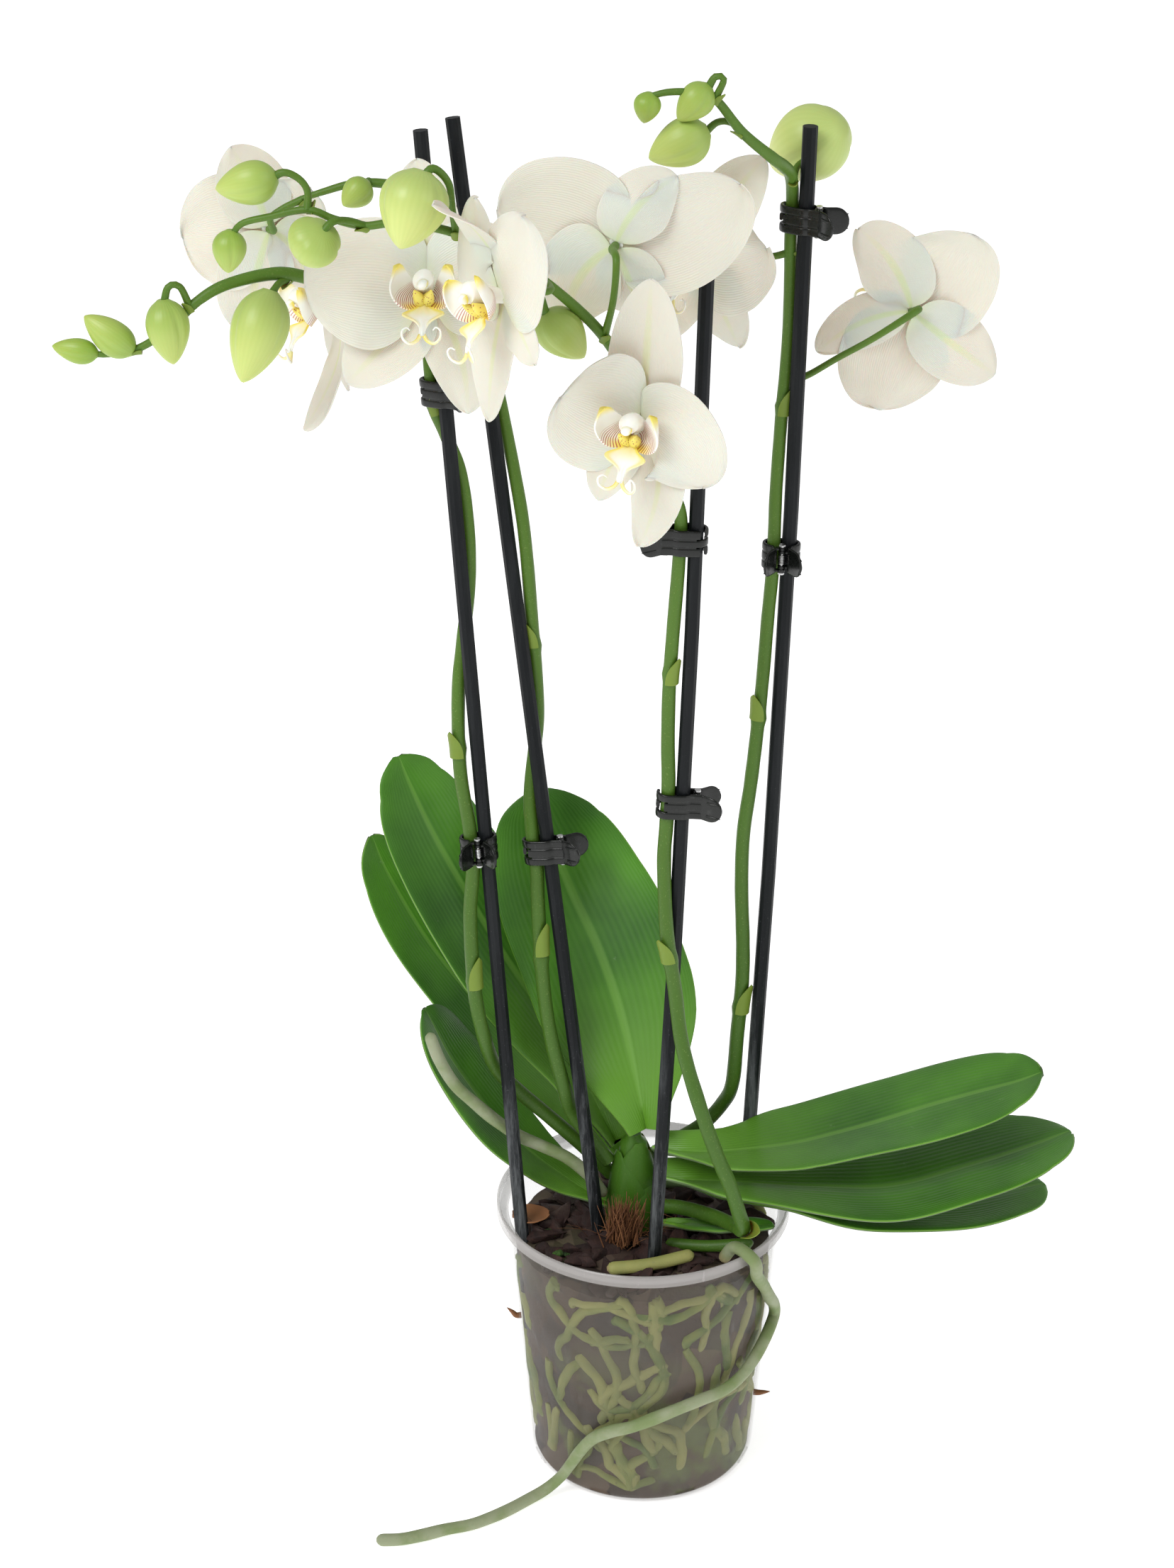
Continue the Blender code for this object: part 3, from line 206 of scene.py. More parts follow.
def petalFinish():
    made = Finish("petalWhite", Roughness=0.5, Subsurface_Weight=0.22, Sheen_Weight=0.12, Sheen_Roughness=0.5)
    along, across, kind = (made.grown(axis) for axis in range(3))
    veins = made.stripes("X", (across * 4.0, along * 1.2, kind), 1.9, 2.0, 3.0, 1.2)
    cloud = made.grain(45.0, 4.0)
    white = made.mix(cloud, (0.715, 0.67, 0.575), (0.785, 0.74, 0.655))
    heart = made.mix(made.spread(along, 0.30, 0.02) * 0.55, white, (0.72, 0.76, 0.42))
    keel = made.spread(across * across, 0.02, 0.0) * made.spread(kind, 0.3, 0.6) * made.spread(along, 1.0, 0.3)
    keeled = made.mix(keel * 0.5, heart, (0.66, 0.74, 0.30))
    return made.dress(made.mix(veins * 0.07, keeled, (0.66, 0.66, 0.60)), 0.44 + 0.14 * cloud,
                      veins * 0.7 + made.grain(900.0, 2.0) * 0.3, 0.0004, 0.30)


def lipFinish():
    made = Finish("lipTissue", Roughness=0.42, Subsurface_Weight=0.15, Coat_Weight=0.1, Coat_Roughness=0.3)
    along, across, kind = (made.grown(axis) for axis in range(3))
    cloud = made.grain(160.0, 3.0)
    white = made.mix(cloud, (0.88, 0.86, 0.78), (0.94, 0.93, 0.88))
    yellow = made.mix(cloud, (0.86, 0.66, 0.06), (0.92, 0.80, 0.22))
    sideLobe = made.spread(kind, 0.15, 0.25) * made.spread(kind, 0.45, 0.35)
    callus = made.spread(kind, 0.75, 0.85)
    midLobe = made.spread(kind, 0.45, 0.5) * made.spread(kind, 0.7, 0.6)
    tip = made.spread(along, 0.80, 1.0) + made.spread(along, 0.5, 0.2) * made.spread(across, 0.1, 0.8)
    flush = made.spread(along, 0.55, 0.1) * midLobe
    edge = made.spread(across * across, 0.3, 0.8) * made.spread(along, 0.85, 0.5) * midLobe
    golden = made.mix(tip * sideLobe + flush * 0.7 + edge * 0.6 + callus, white, yellow)
    bars = made.stripes("Y", (across * 0.3, along * 3.2, 0.0), 2.2, 2.5)
    striped = made.spread(bars, 0.62, 0.8) * made.spread(along, 0.62, 0.45) * sideLobe
    dots = made.spread(made.node("TexVoronoi", None, {"Vector": made.where(), "Scale": 1100.0}), 0.30, 0.2) * callus
    marked = made.mix((striped + dots) * 0.85, golden, (0.36, 0.035, 0.045))
    return made.dress(marked, 0.36 + 0.16 * cloud, cloud, 0.0003, 0.3)


def rootFinish(name, dry, wet, moss):
    made = Finish(name, Roughness=0.62, Subsurface_Weight=0.05)
    along, tone = made.grown(0), made.grown(2)
    patches, fine = made.grain(70.0, 5.0), made.grain(900.0, 3.0)
    skin = made.mix(made.spread(patches, 0.35, 0.65), dry, wet)
    toned = made.mix(tone * 0.6, skin, moss)
    pitted = made.mix(made.spread(fine, 0.62, 0.75) * 0.3, toned, (0.18, 0.17, 0.10))
    ended = made.mix(made.spread(along, 0.03, 0.0) * 0.8, pitted, (0.30, 0.22, 0.12))
    return made.dress(ended, 0.5 + 0.25 * patches, fine * 0.5 + patches * 0.5, 0.0005, 0.5)


def barkFinish():
    made = Finish("barkChips", Roughness=0.85)
    tone = made.grown(2)
    fibres = made.grain(220.0, 6.0, (1.0, 0.3, 1.0), 0.65)
    rough = made.grain(60.0, 5.0)
    brown = made.ramp(fibres, (0.3, (0.008, 0.0035, 0.003)), (0.55, (0.032, 0.011, 0.008)),
                      (0.8, (0.085, 0.034, 0.020)))
    varied = made.mix(tone * 0.55, brown, (0.035, 0.016, 0.014))
    damp = made.spread(rough, 0.55, 0.7)
    damp = made.mix(damp * 0.25, varied, (0.16, 0.13, 0.10))
    return made.dress(damp, 0.65 + 0.3 * rough, fibres + rough, 0.001, 0.7)


def mossFinish():
    made = Finish("mossGreen", Roughness=0.8)
    clumps, fine = made.grain(260.0, 5.0), made.grain(1100.0, 3.0)
    colour = made.ramp(clumps, (0.3, (0.012, 0.035, 0.006)), (0.7, (0.075, 0.17, 0.02)))
    return made.dress(colour, 0.7 + 0.25 * fine, clumps + fine, 0.0012, 0.9)


def potFillFinish():
    made = Finish("pottedBark", Roughness=0.75)
    height = made.height()
    cells = made.node("TexVoronoi", None, {"Vector": made.where(), "Scale": 75.0})
    chips = made.node("TexVoronoi", None, {"Vector": made.where(), "Scale": 75.0}, output=1)
    tone = made.node("SeparateXYZ", None, {0: chips}, output=0)
    brown = made.ramp(tone, (0.0, (0.018, 0.011, 0.008)), (0.5, (0.052, 0.031, 0.022)), (1.0, (0.12, 0.085, 0.060)))
    mossy = made.spread(made.grain(28.0, 5.0), 0.52, 0.62) * made.spread(height, 0.085, 0.03, 0.15, 1.0)
    green = made.mix(mossy * 0.8, brown, (0.12, 0.17, 0.035))
    return made.dress(green, 0.6 + 0.3 * tone, cells * -1.0 + made.grain(300.0, 4.0) * 0.4, 0.0015, 0.8)


def fibreFinish():
    made = Finish("coirFibre", Roughness=0.7)
    tone = made.grown(2)
    return made.dress(made.mix(tone, (0.10, 0.035, 0.012), (0.30, 0.13, 0.05)), 0.6 + 0.3 * made.grain(400.0, 2.0))


def potFinish():
    made = Finish("clearPot", Roughness=0.22, Alpha=0.42, Coat_Weight=0.3, Coat_Roughness=0.12)
    height = made.height()
    haze = made.grain(26.0, 5.0)
    scuffs = made.spread(made.grain(240.0, 6.0, (1.0, 1.0, 0.25), 0.7), 0.58, 0.72)
    milky = made.mix(haze, (0.12, 0.100, 0.082), (0.25, 0.220, 0.185))
    rim = made.spread(height, 0.1155, 0.1175)
    dirt = made.spread(made.grain(620.0, 3.0), 0.70, 0.75) * made.spread(height, 0.118, 0.05, 0.2, 1.0)
    hazy = made.mix(dirt, made.mix(scuffs * 0.3, milky, (0.50, 0.48, 0.46)), (0.05, 0.03, 0.02))
    colour = made.mix(rim, hazy, (0.47, 0.445, 0.43))
    alpha = 0.09 + 0.14 * haze + 0.10 * scuffs + 0.36 * rim + 0.5 * dirt
    made.feed("Alpha", alpha)
    return made.dress(colour, 0.16 + 0.2 * scuffs + 0.1 * haze, haze, 0.0004, 0.2)


def stakeFinish():
    made = Finish("stakePlastic", Roughness=0.42, Specular_IOR_Level=0.17)
    height = made.height()
    streaks = made.grain(140.0, 6.0, (1.0, 1.0, 0.10), 0.7)
    lime = made.spread(streaks, 0.44, 0.66) * made.spread(height, 0.24, 0.125, 0.05, 1.0)
    specks = made.spread(made.grain(1300.0, 3.0), 0.66, 0.76) * made.spread(height, 0.40, 0.15, 0.1, 0.8)
    black = made.mix(streaks, (0.003, 0.004, 0.005), (0.010, 0.012, 0.014))
    colour = made.mix(lime * 0.42 + specks * 0.4, black, (0.30, 0.32, 0.33))
    return made.dress(colour, 0.34 + 0.25 * streaks + 0.2 * lime, streaks, 0.0003, 0.35)


def clipFinish():
    made = Finish("clipPlastic", Roughness=0.25, Specular_IOR_Level=0.35, Coat_Weight=0.12, Coat_Roughness=0.12)
    scuffs = made.grain(420.0, 5.0)
    colour = made.mix(made.spread(scuffs, 0.55, 0.8), (0.004, 0.005, 0.004), (0.022, 0.024, 0.023))
    return made.dress(colour, 0.18 + 0.22 * scuffs, scuffs, 0.0001, 0.25)


def steelFinish():
    made = Finish("pinSteel", Metallic=1.0, Roughness=0.25)
    drawn = made.grain(900.0, 3.0, (1.0, 1.0, 0.1))
    return made.dress(made.mix(drawn, (0.45, 0.45, 0.46), (0.72, 0.72, 0.71)), 0.18 + 0.25 * drawn)


leafGreen = leafFinish()
spikeGreen = stemFinish("spikeGreen", (0.060, 0.145, 0.012), (0.10, 0.21, 0.020), 0.22)
crownGreen = stemFinish("crownGreen", (0.06, 0.17, 0.01), (0.06, 0.17, 0.01), 0.1)
budGreen = budFinish()
petalWhite = petalFinish()
lipTissue = lipFinish()
rootSkin = rootFinish("airRoot", (0.31, 0.34, 0.22), (0.19, 0.25, 0.10), (0.17, 0.25, 0.07))
pottedRoot = rootFinish("pottedRoot", (0.22, 0.26, 0.05), (0.065, 0.14, 0.014), (0.40, 0.37, 0.13))
barkChips = barkFinish()
mossGreen = mossFinish()
pottedBark = potFillFinish()
coirFibre = fibreFinish()
clearPot = potFinish()
stakePlastic = stakeFinish()
clipPlastic = clipFinish()
pinSteel = steelFinish()
print("finishes ready")


# shape helpers, in millimetres

def heading(angle):  # a level direction
    return Vector((math.cos(angle), math.sin(angle), 0.0))


def placed(name, data):
    thing = bpy.data.objects.new(name, data)
    bpy.context.scene.collection.objects.link(thing)
    return thing


class Shape:  # points, faces and the three marks that the finishes read
    def __init__(self):
        self.points, self.faces, self.marks = [], [], []

    def lay(self, rows, marks, closed=True, caps=True):
        start, across = len(self.points), len(rows[0])
        for row, markRow in zip(rows, marks):
            self.points.extend(row)
            self.marks.extend(markRow)
        for r in range(len(rows) - 1):
            for c in range(across if closed else across - 1):
                a = start + r * across + c
                b = start + r * across + (c + 1) % across
                self.faces.append((a, b, b + across, a + across))
        if caps:
            last = start + (len(rows) - 1) * across
            self.faces.append(tuple(start + c for c in reversed(range(across))))
            self.faces.append(tuple(last + c for c in range(across)))

    def tube(self, route, radiusAt, sides=14, tone=0.0, squash=1.0):
        lengths = [0.0]
        for a, b in zip(route, route[1:]):
            lengths.append(lengths[-1] + (b - a).length)
        turns = [math.tau * step / sides for step in range(sides)]
        side = (route[1] - route[0]).normalized().orthogonal().normalized()
        rows, marks = [], []
        for index, point in enumerate(route):
            ahead = (route[min(index + 1, len(route) - 1)] - route[max(index - 1, 0)]).normalized()
            side = (side - ahead * side.dot(ahead)).normalized()
            other = ahead.cross(side)
            share = lengths[index] / lengths[-1]
            radius = radiusAt(share)
            rows.append([point + side * radius * math.cos(turn) + other * radius * squash * math.sin(turn)
                         for turn in turns])
            marks.append([(share, step / sides, tone) for step in range(sides)])
        self.lay(rows, marks)

    def sheet(self, rows, thicknessAt, kind=None):
        wide = len(rows[0]) - 1
        rings, marks = [], []
        for r, row in enumerate(rows):
            upper, lower, upperMarks, lowerMarks = [], [], [], []
            for c, point in enumerate(row):
                down = rows[min(r + 1, len(rows) - 1)][c] - rows[max(r - 1, 0)][c]
                over = row[min(c + 1, wide)] - row[max(c - 1, 0)]
                normal = down.cross(over)
                normal = normal.normalized() if normal.length > 1e-9 else Vector((0, 0, 1))
                along, across = r / (len(rows) - 1), 2.0 * c / wide - 1.0
                half = 0.5 * thicknessAt(along, across)
                upper.append(point - normal * half)
                lower.append(point + normal * half)
                upperMarks.append((along, across, 1.0 if kind is None else kind))
                lowerMarks.append((along, across, 0.0 if kind is None else kind))
            rings.append(upper + lower[::-1])
            marks.append(upperMarks + lowerMarks[::-1])
        self.lay(rings, marks)

    def egg(self, base, tip, width, ripeness, sides=60, rings=28, neck=0.25):
        axis = tip - base
        turn = axis.to_track_quat("Z", "Y").to_matrix()
        rows, marks = [], []
        for r in range(rings + 1):
            share = r / rings
            body = math.sin(math.pi * min(max(share, 0.004), 0.996) ** 0.82) ** 0.62
            body = max(body * (1.06 - 0.22 * share), neck * (1 - share) ** 8)
            row, markRow = [], []
            for step in range(sides):
                angle = math.tau * step / sides
                seam = 0.085 * max(math.cos(3 * (angle + 0.25 * share) + 0.4), 0.0) ** 10 * math.sin(math.pi * share)
                reach = 0.5 * width * body * (1.0 - seam - 0.03 * math.cos(3 * angle))
                spot = Vector((reach * math.cos(angle), reach * math.sin(angle), share * axis.length))
                row.append(base + turn @ spot)
                markRow.append((share, step / sides, ripeness))
            rows.append(row)
            marks.append(markRow)
        self.lay(rows, marks)


def putDown(name, shape, finish, body, nodes=(), matrix=None):
    mesh = bpy.data.meshes.new(name)
    points = [matrix @ point for point in shape.points] if matrix is not None else shape.points
    mesh.from_pydata([point * mm for point in points], [], shape.faces)
    mesh.materials.append(finish)
    grow = mesh.attributes.new("grow", "FLOAT_VECTOR", "POINT")
    grow.data.foreach_set("vector", [value for mark in shape.marks for value in mark])
    mesh.shade_smooth()
    mesh.set_sharp_from_angle(angle=math.radians(60))
    mesh.update()
    piece = placed(name, mesh)
    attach(piece, body)
    if nodes:
        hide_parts(*nodes)
    return piece


def smoothRoute(points, step=2.0):
    points = [Vector(point) for point in points]
    ends = [points[0] * 2 - points[1]] + points + [points[-1] * 2 - points[-2]]
    route = []
    for before, start, end, after in zip(ends, ends[1:], ends[2:], ends[3:]):
        parts = max(int((end - start).length / step), 1)
        for part in range(parts):
            t = part / parts
            route.append(0.5 * (2 * start + (end - before) * t + (2 * before - 5 * start + 4 * end - after) * t**2
                                + (3 * start - before - 3 * end + after) * t**3))
    route.append(points[-1].copy())
    return route


def overSoil(points):
    return [Vector((point[0], point[1], point[2] + soil)) for point in points]


def wobble(x, y, z, amount):
    return noise.noise_vector(Vector((x, y, z))) * amount


def camel(node):
    first, *rest = node.split("_")
    return first + "".join(word.capitalize() for word in rest)


def potRadius(height):
    share = (height - potSizes["corner"]) / (potSizes["height"] - potSizes["flange"] - potSizes["corner"])
    return potSizes["base"] + (potSizes["shoulder"] - potSizes["base"]) * min(max(share, 0.0), 1.0)


def turned(profile, steps):
    shape = Shape()
    rows, marks = [], []
    for step in range(steps):
        angle = math.tau * step / steps
        rows.append([Vector((r * math.cos(angle), r * math.sin(angle), h)) for r, h in profile])
        marks.append([(i / len(profile), step / steps, 0.0) for i in range(len(profile))])
    shape.lay(rows + [rows[0]], marks + [marks[0]], caps=False)
    return shape


# pot

def corner(radius, inset, count=8):
    centre = potSizes["base"] - potSizes["corner"]
    angles = [math.pi / 2 * i / count for i in range(count + 1)]
    out, down = radius - centre - inset, potSizes["corner"] - inset
    return [(centre + out * math.cos(a), potSizes["corner"] - down * math.sin(a)) for a in angles]


def buildPot():
    top, flange = potSizes["height"], potSizes["height"] - potSizes["flange"]
    wall, rimWall = potSizes["wall"], potSizes["rimWall"]
    rim, shoulder, base = potSizes["rimRadius"], potSizes["shoulder"], potSizes["base"]
    foot = base - potSizes["corner"] - 4.0
    ledge, inner = flange + wall, rim - rimWall
    profile = [(0.02, 2.0), (foot, 2.0), *reversed(corner(base, wall))]  # from the inside middle, up, over and down
    profile += [(potRadius(h) - wall, h) for h in range(12, 114, 6)]
    profile += [(shoulder - wall, ledge - 0.4), (shoulder - wall + 0.5, ledge), (inner - 0.6, ledge),
                (inner, ledge + 0.5)]
    profile += [(inner, top - 0.3), (inner + 0.3, top), (rim - 0.35, top), (rim, top - 0.35), (rim, flange + 0.4)]
    profile += [(rim - 0.4, flange), (shoulder + 0.4, flange), (shoulder, flange - 0.4)]
    profile += [(potRadius(h), h) for h in range(112, 10, -6)]
    profile += corner(base, 0.0)
    profile += [(foot + 1.0, 0.0), (foot, 1.2), (15.0, 1.2), (14.0, 0.0), (0.02, 0.0)]
    pot = putDown("clearPot", turned(profile, potSizes["steps"]), clearPot, "plant", ["pot"])
    cutter = bmesh.new()
    for index in range(potSizes["slots"]):
        turn = Matrix.Rotation(math.tau * (index + 0.5) / potSizes["slots"], 4, "Z")
        place = turn @ Matrix.Translation((0.0520, 0.0, 0.00525)) @ Matrix.Diagonal((0.021, 0.009, 0.0026, 1.0))
        bmesh.ops.create_cube(cutter, size=1.0, matrix=place)
    mesh = bpy.data.meshes.new("slots")
    cutter.to_mesh(mesh)
    cutter.free()
    slots = placed("slots", mesh)
    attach(slots, "plant")
    cut = pot.modifiers.new("slots", "BOOLEAN")
    cut.operation = "DIFFERENCE"
    cut.object = slots
    bpy.context.view_layer.update()
    clean = bpy.data.meshes.new_from_object(pot.evaluated_get(bpy.context.evaluated_depsgraph_get()))
    pot.modifiers.clear()
    pot.data = clean
    bpy.data.objects.remove(slots)
    clean.shade_smooth()
    clean.set_sharp_from_angle(angle=math.radians(35))


# bark, in and on top of the pot

barkSizes = {"radius": 51.0, "chips": 150, "smallest": 4.5, "largest": 12.0, "wallGap": 2.5, "cornerGap": 1.5,
             "tuft": (-8.6, -17.0), "fibres": 300}


def surfaceHeight(x, y):
    return soil - 1.3 + 2.2 * noise.noise(Vector((x, y, 3.0)) * 0.07) - 1.0


def buildBarkFill():
    shape = Shape()
    rows, marks = [], []
    steps, levels = 120, [2.6, 3.6, 5.0, 7.0, 9.0] + [12.0 + 3.0 * i for i in range(32)]
    core, bend = potSizes["base"] - potSizes["corner"], potSizes["corner"]
    for step in range(steps):
        out = heading(math.tau * step / steps)
        row = [Vector((0.5 * out.x, 0.5 * out.y, 3.0))]
        for height in levels:
            lump = abs(noise.noise(out * 7.0 + Vector((0, 0, height * 0.11))))
            reach = potRadius(height) - barkSizes["wallGap"] - 2.4 * lump
            if height < bend:  # follows the pot's rounded foot
                reach = core + math.sqrt(bend ** 2 - (bend - height) ** 2) - barkSizes["cornerGap"]
            row.append(Vector((out.x * reach, out.y * reach, height)))
        for share in (0.86, 0.72, 0.58, 0.44, 0.30, 0.16, 0.02):
            x, y = out.x * barkSizes["radius"] * share, out.y * barkSizes["radius"] * share
            row.append(Vector((x, y, surfaceHeight(x, y))))
        rows.append(row)
        marks.append([(0.0, 0.0, 0.5)] * len(row))
    shape.lay(rows + [rows[0]], marks + [marks[0]], caps=False, closed=False)
    putDown("pottedBark", shape, pottedBark, "plant", ["bark_medium"])


def chip(shape, place, size, tone):
    soup = bmesh.new()
    for _ in range(13):
        x, y, z = (dice.uniform(-1, 1) * size for _ in range(3))
        soup.verts.new(place @ Vector((x, y * 0.62, z * 0.36)))
    hull = bmesh.ops.convex_hull(soup, input=soup.verts)
    loose = [g for g in hull["geom_interior"] + hull["geom_unused"] if isinstance(g, bmesh.types.BMVert)]
    bmesh.ops.delete(soup, geom=list(dict.fromkeys(loose)), context="VERTS")
    bmesh.ops.recalc_face_normals(soup, faces=soup.faces)
    bmesh.ops.bevel(soup, geom=soup.edges[:], offset=0.35, segments=1, affect="EDGES")
    start = len(shape.points)
    for index, vertex in enumerate(soup.verts):
        vertex.index = index
        shape.points.append(vertex.co.copy())
        shape.marks.append((0.5, 0.5, tone))
    for face in soup.faces:
        shape.faces.append(tuple(start + vertex.index for vertex in face.verts))
    soup.free()


def buildChips():
    shape = Shape()
    laid = 0
    while laid < barkSizes["chips"]:
        radius = barkSizes["radius"] * math.sqrt(dice.random())
        angle = dice.uniform(0, math.tau)
        size = dice.uniform(barkSizes["smallest"], barkSizes["largest"]) * (1.0 if radius < 42 else 0.7)
        x, y = radius * math.cos(angle), radius * math.sin(angle)
        if radius + size * 0.8 > potRadius(soil) - potSizes["wall"]:
            continue
        spin = Matrix.Rotation(dice.uniform(0, math.tau), 4, "Z") @ Matrix.Rotation(dice.gauss(0, 0.5), 4, "X")
        spin = spin @ Matrix.Rotation(dice.gauss(0, 0.4), 4, "Y")
        height = surfaceHeight(x, y) + dice.uniform(-0.4, 1.6)
        chip(shape, Matrix.Translation((x, y, height)) @ spin, size, dice.random())
        laid += 1
    putDown("barkChips", shape, barkChips, "plant")


def buildFibres():
    shape = Shape()
    tuftX, tuftY = barkSizes["tuft"]
    for index in range(barkSizes["fibres"]):
        loose = index % 5 == 0  # most stand in one brush, the rest lie round the crown
        x, y = (dice.gauss(-2.0, 9.0), dice.gauss(-8.0, 7.0)) if loose else (dice.gauss(0, 2.6), dice.gauss(0, 2.0))
        if not loose:
            x, y = tuftX + x, tuftY + y
        start = Vector((x, y, soil - 1.0 + dice.uniform(0.5, 5.0)))
        lean = Vector((dice.gauss(0.08, 0.16), dice.gauss(0.1, 0.2), 1.0))
        if loose:
            lean = Vector((dice.gauss(0, 0.8), dice.gauss(-0.2, 0.6), dice.uniform(0.2, 1.0)))
        lean.normalize()
        bend = Vector((dice.gauss(0, 1), dice.gauss(0, 1), dice.gauss(-0.4, 0.6))) * (1.0 if loose else 0.45)
        length = dice.uniform(7.0, 20.0) if loose else dice.uniform(9.0, 19.0)
        route = [start + lean * length * t + bend * (2.4 * t * t) for t in (0.0, 0.2, 0.4, 0.6, 0.8, 1.0)]
        thick = dice.uniform(0.10, 0.2) if loose else dice.uniform(0.2, 0.42)
        shape.tube(route, lambda share: thick * (1.1 - 0.8 * share), sides=6, tone=dice.random())
    putDown("coirFibres", shape, coirFibre, "plant")


def buildScraps():
    shape = Shape()  # a dry leaf scrap and two root ends that poke out through the pot's side
    middle = Vector((-46.0, -2.0, soil + 3.0))
    rows = []
    for row in range(13):
        t = row / 12 - 0.5
        line = []
        for u in (-1, -0.66, -0.33, 0, 0.33, 0.66, 1):
            curl = 1.8 * u * u + 2.0 * t * t + 1.2 * noise.noise(Vector((t * 4, u, 1)))
            line.append(middle + Vector((15 * t, 7.0 * u * (1 - 3.2 * t * t), curl)))
        rows.append(line)
    shape.sheet(rows, lambda along, over: 0.5, kind=0.9)
    for angle, height, length, rise in ((-176.0, 66.0, 6.0, 4.0), (-9.0, 30.0, 7.0, 1.0)):
        out = heading(math.radians(angle))
        start = out * (potRadius(height) - 1.4) + Vector((0, 0, height))
        route = [start, start + out * 2.2, start + out * 0.6 * length + Vector((0, 0, 0.4 * rise)),
                 start + out * length + Vector((0, 0, rise))]
        shape.tube(smoothRoute(route, 0.6), lambda share: 1.2 * (1 - share ** 2) + 0.12, sides=10, tone=0.7)
    putDown("dryScraps", shape, coirFibre, "plant")
    shape = Shape()  # mossy lumps on the bark
    for x, y, size in ((-31.0, -24.0, 6.0), (-40.0, -6.0, 4.0), (30.0, -6.0, 4.5)):
        for _ in range(3):
            spot = (x + dice.gauss(0, 1.6), y + dice.gauss(0, 1.6), surfaceHeight(x, y) + 1.5)
            chip(shape, Matrix.Translation(spot), size, 0.0)
    putDown("mossLumps", shape, mossGreen, "plant")


# roots

rootSizes = {"radius": 2.5, "potted": 104, "lowest": 8.0, "highest": 105.0, "stride": 2.6}


def buildPottedRoots():
    shape = Shape()
    lowest, highest, stride = rootSizes["lowest"], rootSizes["highest"], rootSizes["stride"]
    for index in range(rootSizes["potted"]):
        angle = dice.uniform(0, math.tau)
        height = dice.uniform(9.0, 104.0) if index % 3 else dice.uniform(8.0, 50.0)
        radius = dice.uniform(1.8, 2.9)
        steep = dice.choice((-1, 1)) * dice.gauss(1.25, 0.45)
        way = dice.choice((-1, 1))
        route = []
        phase = dice.uniform(0, 9)
        for step in range(dice.randint(10, 26)):
            steep += dice.gauss(0, 0.22)
            height += stride * math.sin(steep)
            if not lowest < height < highest:
                steep = -steep
                height = min(max(height, lowest), highest)
            angle += way * stride * math.cos(steep) / 50.0
            deep = 0.12 + 1.0 * (0.5 + 0.5 * noise.noise(Vector((step * 0.22, phase, 0))))
            reach = potRadius(height) - potSizes["wall"] - radius - deep
            route.append(Vector((reach * math.cos(angle), reach * math.sin(angle), height)))
        route[0] *= 0.93
        route[-1] *= 0.93
        tapered = lambda share: radius * (0.72 + 0.28 * min(share * 9, (1 - share) * 9, 1.0))
        shape.tube(smoothRoute(route, 1.6), tapered, sides=10, tone=dice.random())
    putDown("pottedRoots", shape, pottedRoot, "plant")


def rootTube(name, route, radius, finish, node, swell=0.06, tone=0.3):
    shape = Shape()
    points = smoothRoute(route, 1.2)
    size = len(points)

    def radiusAt(share):
        end = min(max(min(share, 1 - share) * size * 1.2 / radius, 0.02), 1.0)
        blunt = math.sqrt(end * (2 - end))
        return radius * max(blunt, 0.3) * (1 + swell * noise.noise(Vector((share * size * 0.09, radius, 0))))

    shape.tube(points, radiusAt, sides=18, tone=tone)
    putDown(name, shape, finish, "plant", [node])


def outside(angle, height, gap=0.4):
    return heading(math.radians(angle)) * (potRadius(height) + gap + rootSizes["radius"]) + Vector((0, 0, height))


def buildRoots():
    thick, high = rootSizes["radius"], potSizes["height"]
    over = high + thick + 1.3
    rim = heading(math.radians(-48.0))
    edge = potSizes["rimRadius"] + thick + 0.5
    trail = [rim * (edge - 16.0) + Vector((0, 0, soil + thick + 1.5)), rim * (edge - 9.0) + Vector((0, 0, over - 2.6))]
    trail += [rim * (edge - 3.6) + Vector((0, 0, over)), rim * (edge + 0.6) + Vector((1, 1, over - 5.0))]
    trail += [outside(-41.0, high - 14.0, 2.5), outside(-34.0, 0.83 * high), outside(-22.0, 0.70 * high)]
    trail += [outside(-13.0, 0.61 * high, 1.0), outside(-24.0, 0.56 * high, 0.8)]
    trail += [outside(a, h * high) for a, h in (
        (-39, 0.49), (-53, 0.46), (-68, 0.45), (-81, 0.42), (-95, 0.37), (-107, 0.33), (-116, 0.27), (-124, 0.17))]
    ground = thick + 0.1
    lead = outside(-133.0, 0.0, 3.0)
    trail += [Vector((lead.x, lead.y, 0.06 * high))]
    spot = Vector((lead.x, lead.y, ground))
    for x, y in ((-10, -5), (-12, -10), (-13, -8), (-13, -4), (-12, -5), (-13, -1)):
        spot = spot + Vector((x, y, 0.0))
        trail.append(spot)
    trail = [Vector((p.x, p.y, max(p.z, ground))) for p in smoothRoute(trail, 3.0)]
    rootTube("trailingRoot", trail[::3] + [trail[-1]], thick, rootSkin, "trailing_root", 0.12)
    side = overSoil([(-15.5, 0, 12), (-22, 1, 21), (-31, 2, 29), (-42, 2, 35), (-51, 1.5, 40), (-60, 0, 48),
                     (-68, -2, 57), (-76, -4, 67), (-82, -5, 79), (-86, -6, 92)])
    rootTube("uprightRoot", side, thick, rootSkin, "upright_root", 0.1, 0.15)
    stub = overSoil([(9, -21, 2.8), (26, -25, 4), (44, -28, 7.5)])
    rootTube("cutSpike", stub, 2.4, spikeGreen, "cut_spike", 0.03)
    stub = overSoil([(-15, -40, 3), (2, -37, 3), (20, -31, 4)])
    rootTube("cutRoot", stub, 2.6, pottedRoot, "cut_root", 0.1, 1.0)


# crown and leaves

